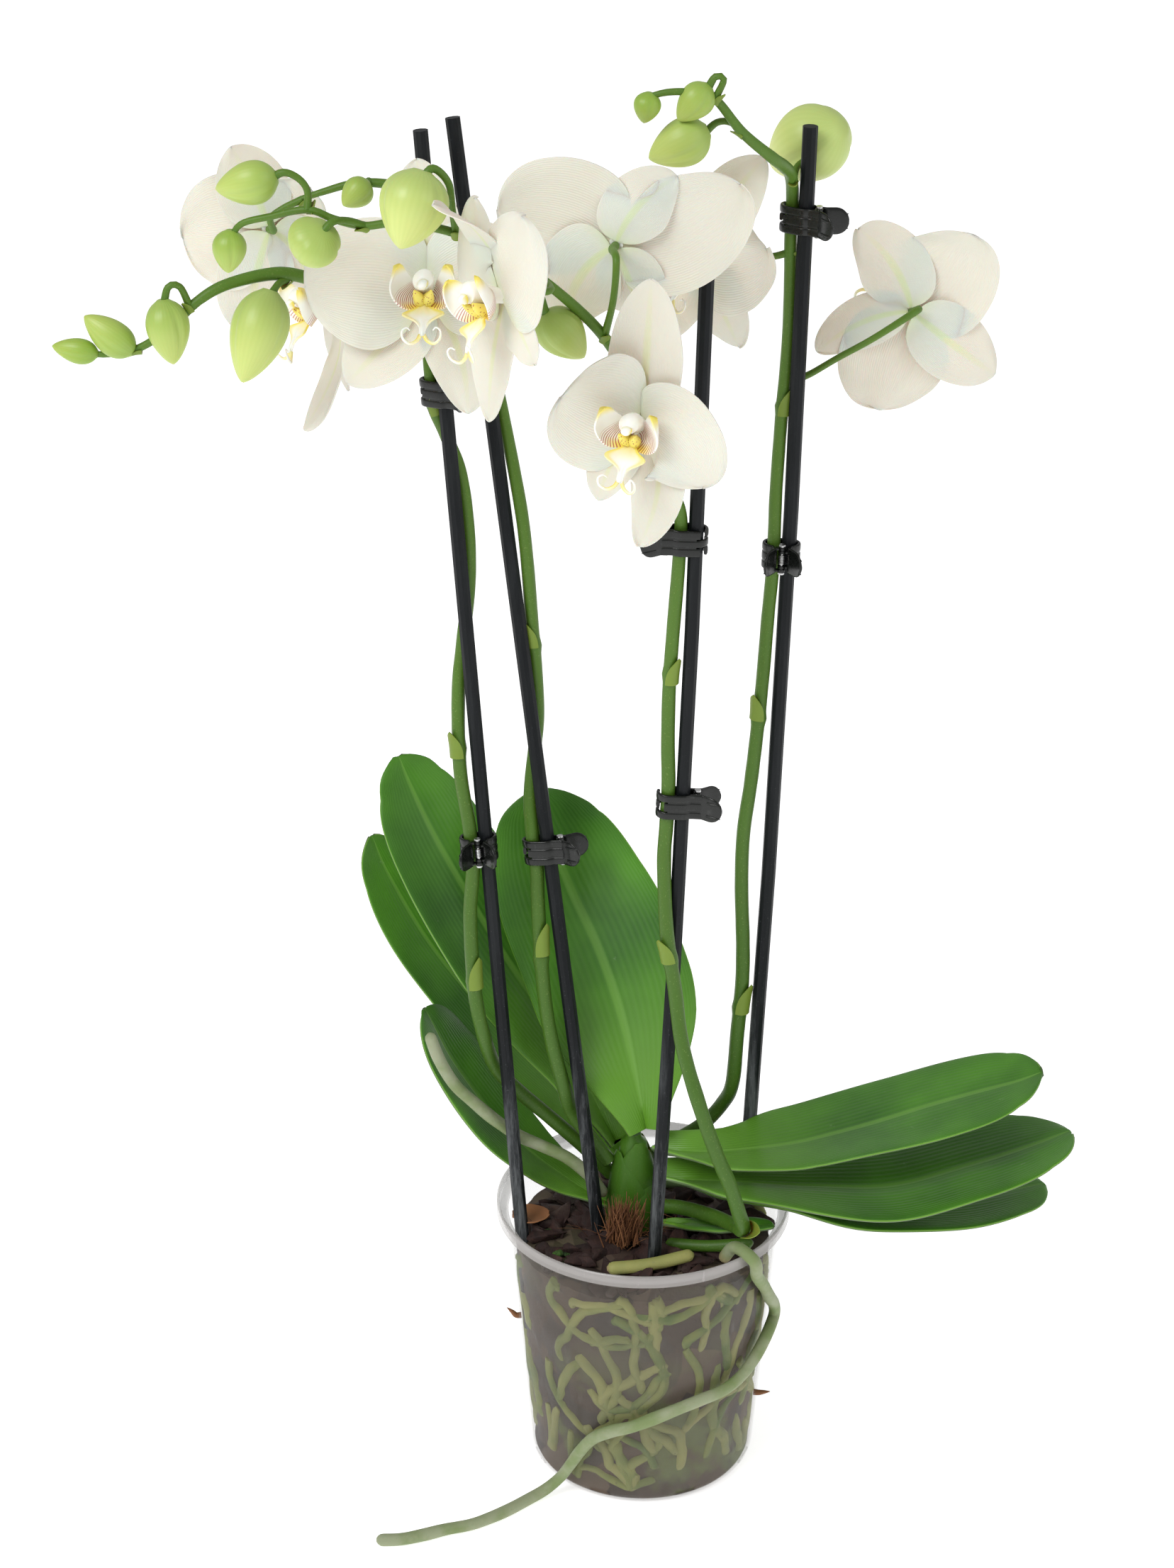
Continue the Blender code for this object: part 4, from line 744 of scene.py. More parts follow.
leafSizes = {"thickness": 2.3, "rows": 54, "columns": 18, "wave": 1.4}
leafRoutes = {
    "leaf_left_tall": (
        [(-12, 14, 30), (-30, 21, 66), (-59, 28, 113), (-82, 35, 154), (-94, 41, 180), (-98, 43, 191)],
        (0.62, 0.62, 0.35), 50, 16, 0.55),
    "leaf_left_back": (
        [(-10, 21, 18), (-34, 36, 39), (-62, 46, 67), (-88, 53, 101), (-105, 59, 130), (-111, 62, 146)],
        (0.60, 0.68, 0.30), 34, 14, 0.55),
    "leaf_centre": (
        [(1, 4, 42), (-8, 12, 86), (-18, 19, 116), (-30, 26, 142), (-39, 33, 165), (-43, 37, 179)],
        (0.94, 0.05, 0.33), 66, 12, 0.42),
    "leaf_left_low": (
        [(-14, 6, 4), (-30, 11, 12), (-45, 14, 23), (-63, 14, 44), (-78, 13, 69), (-88, 12, 93)],
        (0.35, 0.85, 0.30), 33, 14, 0.6),
    "leaf_right_top": (
        [(6, 3, 32), (22, -2, 34), (44, -2, 35), (68, 3, 36), (97, 4, 45), (126, 4, 55), (150, 4, 63), (161, 4, 68)],
        (0.0, 1.0, 0.0), 58, 10, 0.6),
    "leaf_right_middle": (
        [(6, -3, 22), (40, -8, 23), (70, -8, 21), (103, -8, 22), (135, -5, 30), (160, 0, 36), (174, 4, 40)],
        (0.0, 1.0, 0.0), 60, 10, 0.62),
    "leaf_right_low": (
        [(7, 6, 14.5), (20, 5, 16), (40, 1, 17), (62, -1, 17), (90, -4, 13), (125, -3, 11.5), (150, 2, 13),
         (165, 6, 14)],
        (0.0, 1.0, 0.0), 52, 7, 0.6),
    "leaf_right_small": (
        [(8, -8, 4), (14, -11, 5.5), (30, -17, 8.5), (52, -25, 14.0)],
        (0.4, 0.9, 0.0), 12, 10, 0.6),
}


def leafHalfWidth(share, width, belly):
    neck = 0.30 + 0.70 * math.sin(0.5 * math.pi * min(share / belly, 1.0)) ** 1.3
    tip = math.sqrt(max(1.0 - max((share - belly) / (1.001 - belly), 0.0) ** 3.0, 0.0))
    return 0.5 * width * neck * tip


def buildLeaf(name, midrib, across, width, fold, belly, seed):
    shape = Shape()
    route = smoothRoute(overSoil(midrib), 1.0)
    side = Vector(across).normalized()
    rows = []
    rowCount, columns = leafSizes["rows"], leafSizes["columns"]
    wave = leafSizes["wave"] * min(width / 50.0, 1.0)
    for row in range(rowCount + 1):
        share = 1.0 - (1.0 - row / rowCount) ** 1.35
        place = share * (len(route) - 1)
        index = min(int(place), len(route) - 2)
        centre = route[index].lerp(route[index + 1], place - index)
        along = (route[min(index + 3, len(route) - 1)] - route[max(index - 3, 0)]).normalized()
        flat = (side - along * side.dot(along)).normalized()
        up = flat.cross(along)
        if up.z < 0:
            up.negate()
        half = max(leafHalfWidth(share, width, belly), 0.5)
        angle = math.radians(fold * (1.0 - 0.6 * share) + 34 * max(0.0, 0.16 - share) / 0.16)
        line = []
        for column in range(columns + 1):
            reach = math.sin(math.pi * 0.5 * (2.0 * column / columns - 1.0))
            bent = math.sqrt(reach * reach + 0.012) - 0.11
            rise = bent * half * math.sin(angle) - 0.7 * math.exp(-(reach * half / 2.2) ** 2)
            phase = share * 9.0 + seed * 2.0 + (1.3 if reach > 0 else 0.0)
            ripple = wave * abs(reach) ** 1.6 * math.sin(phase) * share
            swell = 0.8 * noise.noise(Vector((share * 5.0, reach * 1.2, seed * 3.1)))
            line.append(centre + flat * (reach * half * math.cos(angle)) + up * (rise + ripple + swell))
        rows.append(line)
    flip = (rows[3][0] - rows[2][0]).cross(rows[2][1] - rows[2][0]).dot(Vector((0, 0, 1))) > 0

    def thicknessAt(along, over):
        keel = 0.5 * math.exp(-(over * 5.0) ** 2)
        return leafSizes["thickness"] * (1.0 - 0.72 * abs(over) ** 5) * (1.0 - 0.45 * along ** 4) + keel

    shape.sheet([line[::-1] for line in rows] if flip else rows, thicknessAt)
    putDown(camel(name), shape, leafGreen, "plant", [name])


def buildCrown():
    shape = Shape()
    middle = Vector((-4.0, 4.0, soil))
    route = [middle + Vector((0, 0, h)) for h in range(-18, 41, 2)]

    def girth(share):
        h = -18 + 58 * share
        folds = 0.5 * math.sin(h * 0.62) ** 2
        return (9.4 - 6.0 * max(share - 0.30, 0.0) ** 0.8 + folds) * (1.0 if share < 0.96 else 0.6)

    shape.tube(route, girth, sides=32)
    sheaths = [(-0.3, 0, 22, 10.6), (2.7, 0, 26, 10.4), (-1.9, -1, 19, 10.8), (1.2, 5, 36, 9.2), (-2.7, 4, 33, 9.6),
               (-1.2, 9, 38, 8.4)]
    for aim, low, high, radius in sheaths:  # leaf bases that clasp the stem
        rows = []
        for row in range(19):
            share = row / 18
            height = low + (high - low) * share
            reach = radius * (1.0 + 0.10 * math.sin(math.pi * share) - 0.30 * share)
            span = 1.9 * (1 - 0.86 * share ** 2.2)
            rise = Vector((0, 0, height))
            rows.append([middle + heading(aim + span * (c / 8 - 1)) * reach + rise for c in range(17)])
        shape.sheet(rows, lambda along, over: 1.5 * (1 - 0.6 * over ** 4) * (1 - 0.5 * along ** 3), kind=0.0)
    putDown("crownSheaths", shape, crownGreen, "plant", ["crown_stem"])


# stakes' routes, and the spikes that lean on them

stakeSizes = {"diameter": 5.7}
stemSizes = {"low": 2.6, "high": 1.9, "tip": 1.1, "stalk": 1.3, "plump": 0.45, "climb": 380.0, "node": 0.5,
             "firstSheath": 14.0, "sheath": 11.0}


def insideWall(angle, depth):
    return heading(math.radians(angle)) * (potRadius(soil) - potSizes["wall"] - depth)


stakeLines = {
    "left": (insideWall(-171.0, 4.4), Vector((-83.0, 15.0, 454.0)), 0.0),
    "inner": (Vector((-18.0, -9.0, 0.0)), Vector((-72.0, 32.0, 454.0)), 0.0),
    "centre": (Vector((4.0, -30.0, 0.0)), Vector((19.0, -42.0, 418.0)), 1.8),
    "right": (insideWall(27.0, 6.8), Vector((58.0, 24.0, 453.0)), 2.0),
}


def stakeCentre(stake, height):
    foot, top, bow = stakeLines[stake]
    share = height / top.z
    return foot.lerp(top, share) + Vector((math.sin(math.pi * share) * bow, 0, 0))


def beside(stake, height, angle, gap=0.5):
    reach = stakeSizes["diameter"] / 2 + stemSizes["low"] + gap
    return stakeCentre(stake, height) + heading(math.radians(angle)) * reach


def against(stake, spots):  # a stretch of stem that leans on a stake
    return [beside(stake, *spot) for spot in spots]


def routeLeft():
    route = [(-13, 11, 16), (-25, 10.5, 30), (-38, 9, 44), (-51, 7, 58), (-60, 4, 71)]
    route += against("left", (
        (92, 180, 3), (111, 180, 4.5), (142, 180, 3.5), (164, 180, 0.5), (180, 180, 0.5), (205, 178, 2), (235, 150, 1),
        (256, 110, 0.5), (276, 72, 0.5), (298, 50, 0.5), (322, 60, 0.5), (338, 105, 0.5), (350, 145, 0.5),
        (362, 145, 0.5), (376, 140, 1.5)))
    route += [(-87, 2, 388), (-96, -8, 394), (-106, -17, 402), (-117, -26, 410), (-131, -34, 416), (-148, -42, 415),
              (-159, -46, 410), (-170, -48, 400), (-181, -48, 393), (-191, -48, 391), (-197, -48, 391)]
    return route


def routeInner():
    route = [(-14, 3, 27), (-21, 3.6, 37), (-29, 3, 50)]
    route += against("inner", (
        (65, 165, 1.5), (86, 180, 3.5), (105, 180, 4), (127, 180, 3), (148, 172, 1.5), (160, 165, 0.5), (176, 165, 0.5),
        (190, 140, 0.5), (206, 100, 0.5), (222, 68, 0.5), (241, 50, 0.5), (262, 35, 0.5), (285, 12, 0.8), (305, 8, 1),
        (330, 35, 0.5), (355, 62, 0.5), (380, 90, 0.8)))
    route += [(-66, 42, 400), (-72, 45, 412), (-85, 46, 421), (-98, 46, 425), (-110, 46, 425),
              (-121, 46, 422), (-130, 46, 419)]
    return route


def routeCentre():
    route = [(8, -4.5, 10), (16, -9, 12), (28, -20, 15), (36, -33, 19), (39, -44, 25), (37, -47, 34), (33, -48, 48),
             (28, -48, 61), (21, -48, 83), (14, -44, 108)]
    route += against("centre", (
        (131, -84, 1), (155, -128, 0.5), (184, -168, 0.8), (200, 180, 0.5), (217, 180, 0.5), (235, 180, 1.5),
        (258, 180, 2), (280, 180, 1.5), (308, 180, 0.5), (326, 180, 0.5)))
    route += [(7, -46, 340), (2, -51, 358), (-5, -57, 380), (-17, -62, 402), (-32, -70, 420), (-47, -76, 433),
              (-67, -81, 445), (-86, -82, 449), (-98, -82, 448), (-108, -81, 450), (-117, -80, 453), (-130, -78, 450),
              (-140, -77, 447), (-144, -77, 441)]
    return route


def routeRight():
    route = [(4, 16, 22), (14, 24, 24), (25, 27, 30), (33, 27, 40)]
    route += against("right", (
        (52, 170, 3), (76, 180, 2.5), (98, 180, 2), (117, 180, 2.8), (144, 180, 5), (167, 180, 5.6), (189, 180, 4),
        (211, 180, 2.8), (235, 180, 1.8), (260, 180, 1.2), (278, 180, 0.5), (294, 180, 0.5), (312, 172, 0.7),
        (340, 155, 0.5), (370, 135, 0.5), (395, 140, 0.5), (410, 150, 0.5), (426, 150, 0.5)))
    route += [(51, 20, 436), (48, 10, 442), (43, 1, 448), (32, -6, 459), (22, -10, 472), (13, -12, 475), (5, -12, 475),
              (-1, -12, 473.5)]
    return route


flowerSizes = {"ring": 4.0, "thickness": 0.9, "angles": (90, 164, 230, 310, 376), "petals": (1, 4)}
petalSizes = {"rows": 34, "columns": 22, "step": 1.0, "cup": 1.4, "ruffle": 1.7, "wave": 2.0, "blunt": 0.42}
sepalSizes = {"rows": 30, "columns": 14, "step": -1.0, "cup": -0.9, "ruffle": 0.9, "wave": 1.1, "blunt": 0.56}
# each flower: its middle, the way it faces, the way its back sepal points, then the tip, width and bulge of each tepal
flowerShapes = {
    "flower_left_front": ((-79, -48, 413), (-0.05, -0.93, 0.36), (0, 0.44, 0.9), [
        ((-82, -36, 458), 26, 3), ((-121, -52, 417), 46, 5), ((-107, -56, 383), 27, 2),
        ((-65, -54, 371), 24, 2), ((-46, -44, 429), 40, 3)]),
    "flower_left_profile": ((-51, -104, 430), (-0.80, -0.60, 0.0), (-0.2, 0.25, 0.95), [
        ((-73, -118, 466), 18, 0), ((-60, -97, 462), 24, 0), ((-56, -103, 386), 22, 2),
        ((-40, -120, 412), 20, 4), ((-44, -124, 464), 36, 4)]),
    "flower_centre_back": ((-13, -52, 432), (0.15, 0.96, -0.1), (0.35, 0.2, 0.9), [
        ((8, -44, 454), 24, 2), ((30, -40, 450), 40, 3), ((-2, -42, 404), 24, 2),
        ((-31, -50, 402), 32, 2), ((-54, -50, 444), 42, 3)]),
    "flower_right_front": ((18.5, 4, 410), (-0.36, -0.88, 0.2), (0.35, 0.2, 0.9), [
        ((41, 10, 445), 24, 2), ((-6, 6, 420), 38, 3), ((8, 1, 380), 32, 2),
        ((33, 6, 375), 20, 2), ((42, 8, 412), 42, 3)]),
    "flower_centre_low": ((-4.5, -88, 379), (-0.35, -0.93, 0.05), (0.12, 0.15, 0.98), [
        ((-1, -84, 430), 27, 3), ((-32, -93, 391), 46, 4), ((-19, -89, 352), 18, 2),
        ((-5, -92, 336), 20, 2), ((17, -97, 360), 36, 8)]),
    "flower_right_back": ((99, 44, 376), (-0.15, 0.93, -0.34), (0.76, 0.0, -0.65), [
        ((132, 47, 350), 28, 2), ((88, 42, 338), 42, 2), ((64, 42, 361), 20, 1),
        ((78, 45, 408), 28, 2), ((121, 48, 405), 42, 3)]),
    "flower_far_left_back": ((-143, 58, 404), (-0.31, 0.93, -0.22), (-0.36, 0.3, 0.84), [
        ((-156, 60, 435), 28, 2), ((-127, 62, 418), 30, 2), ((-128, 64, 371), 26, 2),
        ((-152, 64, 362), 30, 2), ((-176, 60, 400), 44, 3)]),
    "flower_far_left_side": ((-116, 2, 393), (-0.91, -0.41, -0.03), (-0.1, 0.1, 0.98), [
        ((-120, 0, 419), 16, 0), ((-124, 22, 398), 22, 1), ((-111, 7, 358), 18, 1),
        ((-127, -8, 348), 18, 1), ((-122, -20, 404), 22, 1)]),
}


def stalkTo(flower, *points):
    centre, facing = Vector(flowerShapes[flower][0]), Vector(flowerShapes[flower][1]).normalized()
    back = 0.5 * flowerSizes["thickness"] + 1.0
    return [*points, centre - facing * (back + 7.0), centre - facing * (back + 3.0), centre - facing * back]


# each spike: its route, where it starts to thin, the shares of it that have a node, its stalks and its buds
spikeShapes = {
    "spike_left": (routeLeft(), 24, (0.215, 0.40, 0.66), [
        stalkTo("flower_left_front", (-91, -3, 391), (-86, -14, 399), (-81, -28, 406)),
        stalkTo("flower_far_left_side", (-99, -11, 397)),
        [(-129, -33, 413.5), (-131.5, -38, 413.5), (-133.5, -43, 411.5)],
        [(-162, -47, 408), (-165, -49, 416), (-169, -50, 416), (-171, -51, 408)],
        [(-181, -48, 393), (-183, -48, 392.5), (-186, -48, 394.5)],
    ], [((-195, -48, 391), (-211, -48, 394), 9.5), ((-182.5, -48, 391.5), (-199, -48, 405), 13),
        ((-171, -51, 412), (-168, -53, 389), 16), ((-133.8, -43.5, 413), (-144, -55, 383), 21)]),
    "spike_inner_left": (routeInner(), 21, (0.22, 0.50, 0.74), [
        [(-104, 46, 426), (-105, 42, 426), (-108, 38, 424)],
        stalkTo("flower_far_left_back", (-129, 46, 419), (-136, 45, 416), (-141, 45, 412)),
    ], [((-104, 42, 427), (-113, 35, 420), 12)]),
    "spike_centre": (routeCentre(), 20, (0.085, 0.30, 0.50), [
        stalkTo("flower_centre_low", (-5, -57, 380), (-5, -66, 379)),
        stalkTo("flower_centre_back", (-17, -62, 402), (-14, -70, 418), (-13, -70, 432)),
        stalkTo("flower_left_profile", (-42, -74, 429), (-36, -84, 428), (-36, -94, 429)),
        [(-44, -75, 431), (-40, -72, 424), (-37, -69, 412)],
        [(-67, -81, 445), (-68, -86, 454), (-69, -90, 465), (-74, -93, 471), (-78, -95, 467)],
        [(-98, -82, 448), (-103, -86, 451), (-108, -91, 452), (-112, -93, 448)],
        [(-117, -80, 453), (-117, -78, 459), (-120, -77, 463), (-125, -77, 465), (-130, -76, 462)],
    ], [((-38, -69, 413), (-24, -66, 396), 17), ((-77.5, -95, 471), (-85, -101, 446), 24),
        ((-111, -94, 450), (-119, -86, 438), 19), ((-127, -76, 463), (-148, -76, 459), 15.5),
        ((-143.5, -77, 445), (-145, -77, 430), 12)]),
    "spike_right": (routeRight(), 23, (0.17, 0.42, 0.66), [
        stalkTo("flower_right_front", (53, 27, 405), (45, 27, 403), (34, 20, 406)),
        stalkTo("flower_right_back", (51.8, 26.2, 352), (54, 30.5, 353), (61, 31, 356), (71, 29, 363), (84, 28, 371)),
        [(52, 20, 434), (54, 28, 437), (60, 32, 440), (66, 33, 445), (68, 36, 449)],
        [(22, -10, 472), (25, -10, 479), (22, -10, 480), (19, -10, 475)],
        [(32, -6, 459), (28, -4, 462), (23, -4, 462), (18, -6, 458)],
    ], [((70, 35, 450), (46, 53, 430), 29), ((20, -10, 477), (9, -12, 465), 13), ((20, -6, 460), (-1, -8, 450), 18),
        ((-1, -12, 475), (-3, -12, 464), 10)]),
}


def bract(shape, centre, along, facing, radius, length, width=1.0):
    facing = (facing - along * facing.dot(along)).normalized()
    over = along.cross(facing)
    rows = []
    for row in range(13):
        share = row / 12
        reach = radius + 0.25 + 0.9 * share ** 2
        span = 1.35 * width * (1 - share ** 2.4) + 0.03
        middle = centre + along * (length * share)
        turns = [span * t for t in (-1, -0.7, -0.4, -0.15, 0, 0.15, 0.4, 0.7, 1)]
        rows.append([middle + (facing * math.cos(turn) + over * math.sin(turn)) * reach for turn in turns])
    shape.sheet(rows, lambda a, b: 0.55 * (1 - 0.4 * b * b), kind=1.0)


def buildSpike(name, route, taperFrom, nodeShares, stalks, buds):
    shape = Shape()
    points = smoothRoute(overSoil(route), 1.6)
    start = Vector(route[taperFrom]) + Vector((0, 0, soil))
    first = min(range(len(points)), key=lambda i: (points[i] - start).length)
    total = len(points) - 1
    nodeRows = [round(share * total) for share in nodeShares]

    def radiusAt(share):
        index = round(share * total)
        point = points[min(index, total)]
        climb = min(max((point.z - soil) / stemSizes["climb"], 0.0), 1.0)
        radius = stemSizes["low"] + (stemSizes["high"] - stemSizes["low"]) * climb + stemSizes["plump"]
        if index > first:
            radius += (stemSizes["tip"] - radius) * (index - first) / (total - first)
        for row in nodeRows:
            radius += stemSizes["node"] * math.exp(-((index - row) / 1.3) ** 2)
        return radius * (1 + 0.035 * noise.noise(point * 0.12))

    shape.tube(points, radiusAt, sides=18)
    for index, row in enumerate(nodeRows):
        along = (points[row + 2] - points[row - 2]).normalized()
        facing = Vector((-1 if index % 2 else 1, -0.9, 0.2))
        length = stemSizes["sheath" if index else "firstSheath"]
        bract(shape, points[row], along, facing, radiusAt(row / total), length)

    def stalkRadius(share):
        return stemSizes["stalk"] * (0.92 + 0.28 * share ** 3 + 0.25 * (1 - share) ** 6)

    for line in stalks:
        stalk = smoothRoute(overSoil(line), 1.2)
        shape.tube(stalk, stalkRadius, sides=12)
        along = (stalk[2] - stalk[0]).normalized()
        bract(shape, stalk[0] - along * 1.5, along, Vector((0, -0.3, -1)), stemSizes["stalk"] + 0.3, 5.0, 0.9)
    putDown(camel(name), shape, spikeGreen, "plant", [name])
    eggs = Shape()
    for base, tip, width in buds:
        eggs.egg(*overSoil([base, tip]), width, min(max((width - 9) / 18, 0.0), 1.0))
    putDown(camel(name) + "Buds", eggs, budGreen, "plant", [name])


# flowers

def flowerPlace(flower):
    centre, facing, up, _ = flowerShapes[flower]
    facing, up = Vector(facing).normalized(), Vector(up)
    up = (up - facing * up.dot(facing)).normalized()
    place = Matrix((up.cross(facing), up, facing)).transposed().to_4x4()
    place.translation = Vector(centre) + Vector((0, 0, soil))
    return place


def bent(a, b, c, t):  # a point on a curved line and the way it runs there
    return a * (1 - t) ** 2 + b * 2 * t * (1 - t) + c * t ** 2, (b - a) * (1 - t) + (c - b) * t


def buildTepals(name, seed):
    place = flowerPlace(name)
    inverse = place.inverted()
    shape = Shape()
    for number, (angle, (tip, width, bulge)) in enumerate(zip(flowerSizes["angles"], flowerShapes[name][3])):
        petal = number in flowerSizes["petals"]
        form = petalSizes if petal else sepalSizes
        outward = heading(math.radians(angle))
        sideways = Vector((-outward.y, outward.x, 0.0))
        base = outward * 1.5 + Vector((0.0, 0.0, 0.9 * form["step"]))
        root = outward * flowerSizes["ring"] + Vector((0.0, 0.0, 0.8 * form["step"]))
        end = inverse @ (Vector(tip) + Vector((0, 0, soil)))
        knee = root + outward * 0.45 * (end - root).length + Vector((0.0, 0.0, bulge))
        flutter = Vector((seed * 5.3, number * 3.7, 0.0))
        rows = []
        for row in range(form["rows"] + 1):
            share = 0.5 - 0.5 * math.cos(math.pi * row / form["rows"])
            centre, run = bent(base, knee, end, share)
            over = Vector((0.0, 0.0, 1.0)).cross(run).normalized().lerp(sideways, (1 - share) ** 3).normalized()
            normal = run.normalized().cross(over)
            normal = normal if normal.z > 0 else -normal
            body = max(4.0 * share ** 0.8 * (1.0 - share ** 0.8), 0.0) ** form["blunt"]
            half = max(0.5 * width * body, 1.7 * (1 - share) + 0.15)
            line = []
            for column in range(form["columns"] + 1):
                reach = 2.0 * column / form["columns"] - 1.0
                cup = form["cup"] * (1 - reach * reach) * math.sin(math.pi * share)
                crease = -0.5 * math.exp(-(reach * 5.0) ** 2) * (1 - share)
                ruffle = reach * reach * noise.noise(Vector((share * 3.4, reach * 1.6, 0.0)) + flutter) * share
                wave = noise.noise(Vector((share * 1.7, reach * 0.8, 4.0)) + flutter) * share
                rise = cup + crease + 2.2 * form["ruffle"] * ruffle + form["wave"] * wave
                line.append(centre + over * half * reach + normal * rise)
            rows.append(line)
        thin = lambda along, over: flowerSizes["thickness"] * (1.25 - 0.5 * along - 0.35 * over * over)
        shape.sheet(rows, thin, kind=0.0 if petal else 1.0)
    putDown(camel(name) + "Tepals", shape, petalWhite, "plant", [name + "_tepals"], place)


lipSizes = {"lobeWidth": 10.5, "tendril": 0.42, "scale": 1.18}


def buildLip(name, seed):
    shape = Shape()

    def columnRadius(share):
        swelling = 1.1 * math.sin(math.pi * min(share * 1.05, 1.0) * 0.62) ** 2
        return 2.3 + swelling - 1.9 * max(share - 0.86, 0) / 0.14

    column = [(0, 0.4, -0.5), (0, 1.3, 3), (0, 2.2, 6), (0, 3.4, 9), (0, 3.6, 11.5), (0, 2.9, 13.0)]
    shape.tube(smoothRoute(column, 0.5), columnRadius, sides=20, tone=0.0, squash=0.85)
    cap = [(0, 2.2, 12.6), (0, 1.9, 13.6), (0, 1.3, 14.4)]
    capRadius = lambda s: 1.9 * math.sqrt(max(1 - s * s, 0.03))
    shape.tube(smoothRoute(cap, 0.3), capRadius, sides=14, tone=0.62, squash=0.8)
    for side in (-1, 1):  # side lobes, which stand up and curve in over the callus
        lobe = ((1.4, -2.4, 5.2), (9.8, -2.6, 8.0), (8.4, 7.4, 12.4))
        root, knee, tip = (Vector((x * side, y, z)) for x, y, z in lobe)
        inward = Vector((-side, 0.2, 0.2)).normalized()
        rows = []
        for row in range(23):
            t = row / 22
            centre, run = bent(root, knee, tip, t)
            run.normalize()
            over = Vector((0.62 * side, -0.45, 0.66))
            over = (over - run * over.dot(run)).normalized()
            body = max(math.sin(math.pi * t ** 0.85), 0.0) ** 0.62 * (0.62 + 0.38 * t)
            half = (0.5 * lipSizes["lobeWidth"] * body + 0.5) * (1.0 if t < 0.985 else 0.7)
            line = []
            for c in range(13):
                reach = c / 6 - 1.0
                cup = inward * (1.6 * reach * reach)
                line.append(centre + over * half * reach + cup + wobble(t * 3, reach, seed * 2 + side, 0.5))
            rows.append(line)
        shape.sheet(rows, lambda along, over: 0.7 * (1 - 0.3 * over * over), kind=0.3)
    rows = []
    for row in range(33):  # middle lobe, broad at its shoulders and narrow at its tip
        t = row / 32
        centre = Vector((0, -3.0 - 12.0 * t ** 1.1 + 2.0 * t * t, 6.0 + 9.5 * math.sin(1.35 * t)))
        half = 1.7 + 4.9 * math.exp(-((t - 0.40) / 0.17) ** 2) - 0.9 * t
        wings = math.exp(-((t - 0.40) / 0.25) ** 2)
        line = []
        for c in range(15):
            reach = c / 7 - 1.0
            rise = 1.5 * reach * reach * wings + 0.5 * math.exp(-(reach * 4) ** 2)
            spot = centre + Vector((half * reach, 0, 0)) + Vector((0, 0.5, 0.85)) * rise
            line.append(spot + wobble(t * 4, reach, seed, 0.35))
        rows.append(line)
    shape.sheet(rows, lambda along, over: 0.9 * (1 - 0.4 * over * over), kind=0.55)
    thread = [(0.5, -12.6, 14.9), (1.6, -14.4, 15.6), (3.6, -15.2, 16.4), (5.4, -13.8, 17.6), (5.6, -11.6, 18.2),
              (4.3, -10.6, 17.8), (3.4, -11.4, 17.0)]
    horn = [(0.9, -2.6, 7.2), (1.5, -1.6, 9.4), (2.2, -0.2, 11.4), (2.5, 0.5, 12.2)]
    for side in (-1, 1):  # two curled threads at its tip, and the two horns of the callus
        route = smoothRoute([(x * side, y, z) for x, y, z in thread], 0.4)
        shape.tube(route, lambda s: lipSizes["tendril"] * (1.5 - s), sides=8, tone=0.58)
        route = smoothRoute([(x * side, y, z) for x, y, z in horn], 0.4)
        shape.tube(route, lambda s: 1.75 * (1 - s ** 2.2) + 0.2, sides=14, tone=1.0)
    shape.points = [point * lipSizes["scale"] for point in shape.points]
    place = flowerPlace(name)
    putDown(camel(name) + "Lip", shape, lipTissue, "plant", [name + "_lip"], place)


# spring clips

clipSizes = {"height": 10.5, "plate": 1.2, "slack": 0.35, "neck": 2.8, "tab": 7.5, "spread": 4.0, "gap": 0.4,
             "ear": 1.0, "pin": 0.8, "coil": 1.5, "rib": 0.34}
clipPlaces = {  # stake, height, side of the stem, how it grips and which way it faces
    "clip_left_upper": ("left", 356, 145, "end", 1), "clip_left_lower": ("left", 172, 180, "side", -1),
    "clip_inner_left": ("inner", 168, 165, "end", 1), "clip_centre_upper": ("centre", 317, 180, "end", -1),
    "clip_centre_lower": ("centre", 209, 180, "end", 1), "clip_right_upper": ("right", 418, 150, "end", 1),
    "clip_right_lower": ("right", 286, 180, "side", -1),
}


def jawPath(near, far, spread, reach):  # from the finger's end round to the pin
    neck = clipSizes["neck"]
    turns = (0, 19, 38, 56, 75, 93, 112) if spread > 0.0 else (-22, -5, 12, 31, 50, 70, 90)
    path = [(far + reach * math.cos(a), spread + reach * math.sin(a)) for a in map(math.radians, turns)]
    if spread > 0.0:
        path = [(far + reach, -1.2), *path, (near - 0.87 * reach, spread + 0.5 * reach), (near - reach, neck + 0.8)]
    else:
        path += [(near, reach), (near - 0.71 * reach, 0.71 * reach)]
    return [(x, y, 0.0) for x, y in path + [(-1.6, neck)]]


def ribbon(shape, path, low, high, thickness, heightAt=None):
    middle, half = 0.5 * (low + high), 0.5 * (high - low)
    rows, marks = [], []
    for index, (x, y) in enumerate(path):
        before, after = path[max(index - 1, 0)], path[min(index + 1, len(path) - 1)]
        ahead = Vector((after[0] - before[0], after[1] - before[1], 0.0)).normalized()
        normal = Vector((-ahead.y, ahead.x, 0.0))
        tall = half * (heightAt(index / (len(path) - 1)) if heightAt else 1.0)
        ring = []
        for step in range(20):
            turn = math.tau * step / 20
            out, rise = (math.copysign(abs(part) ** 0.55, part) for part in (math.cos(turn), math.sin(turn)))
            ring.append(Vector((x, y, middle + tall * rise)) + normal * (0.5 * thickness * out))
        rows.append(ring)
        marks.append([(index / len(path), 0.0, 0.0)] * 20)
    shape.lay(rows, marks)


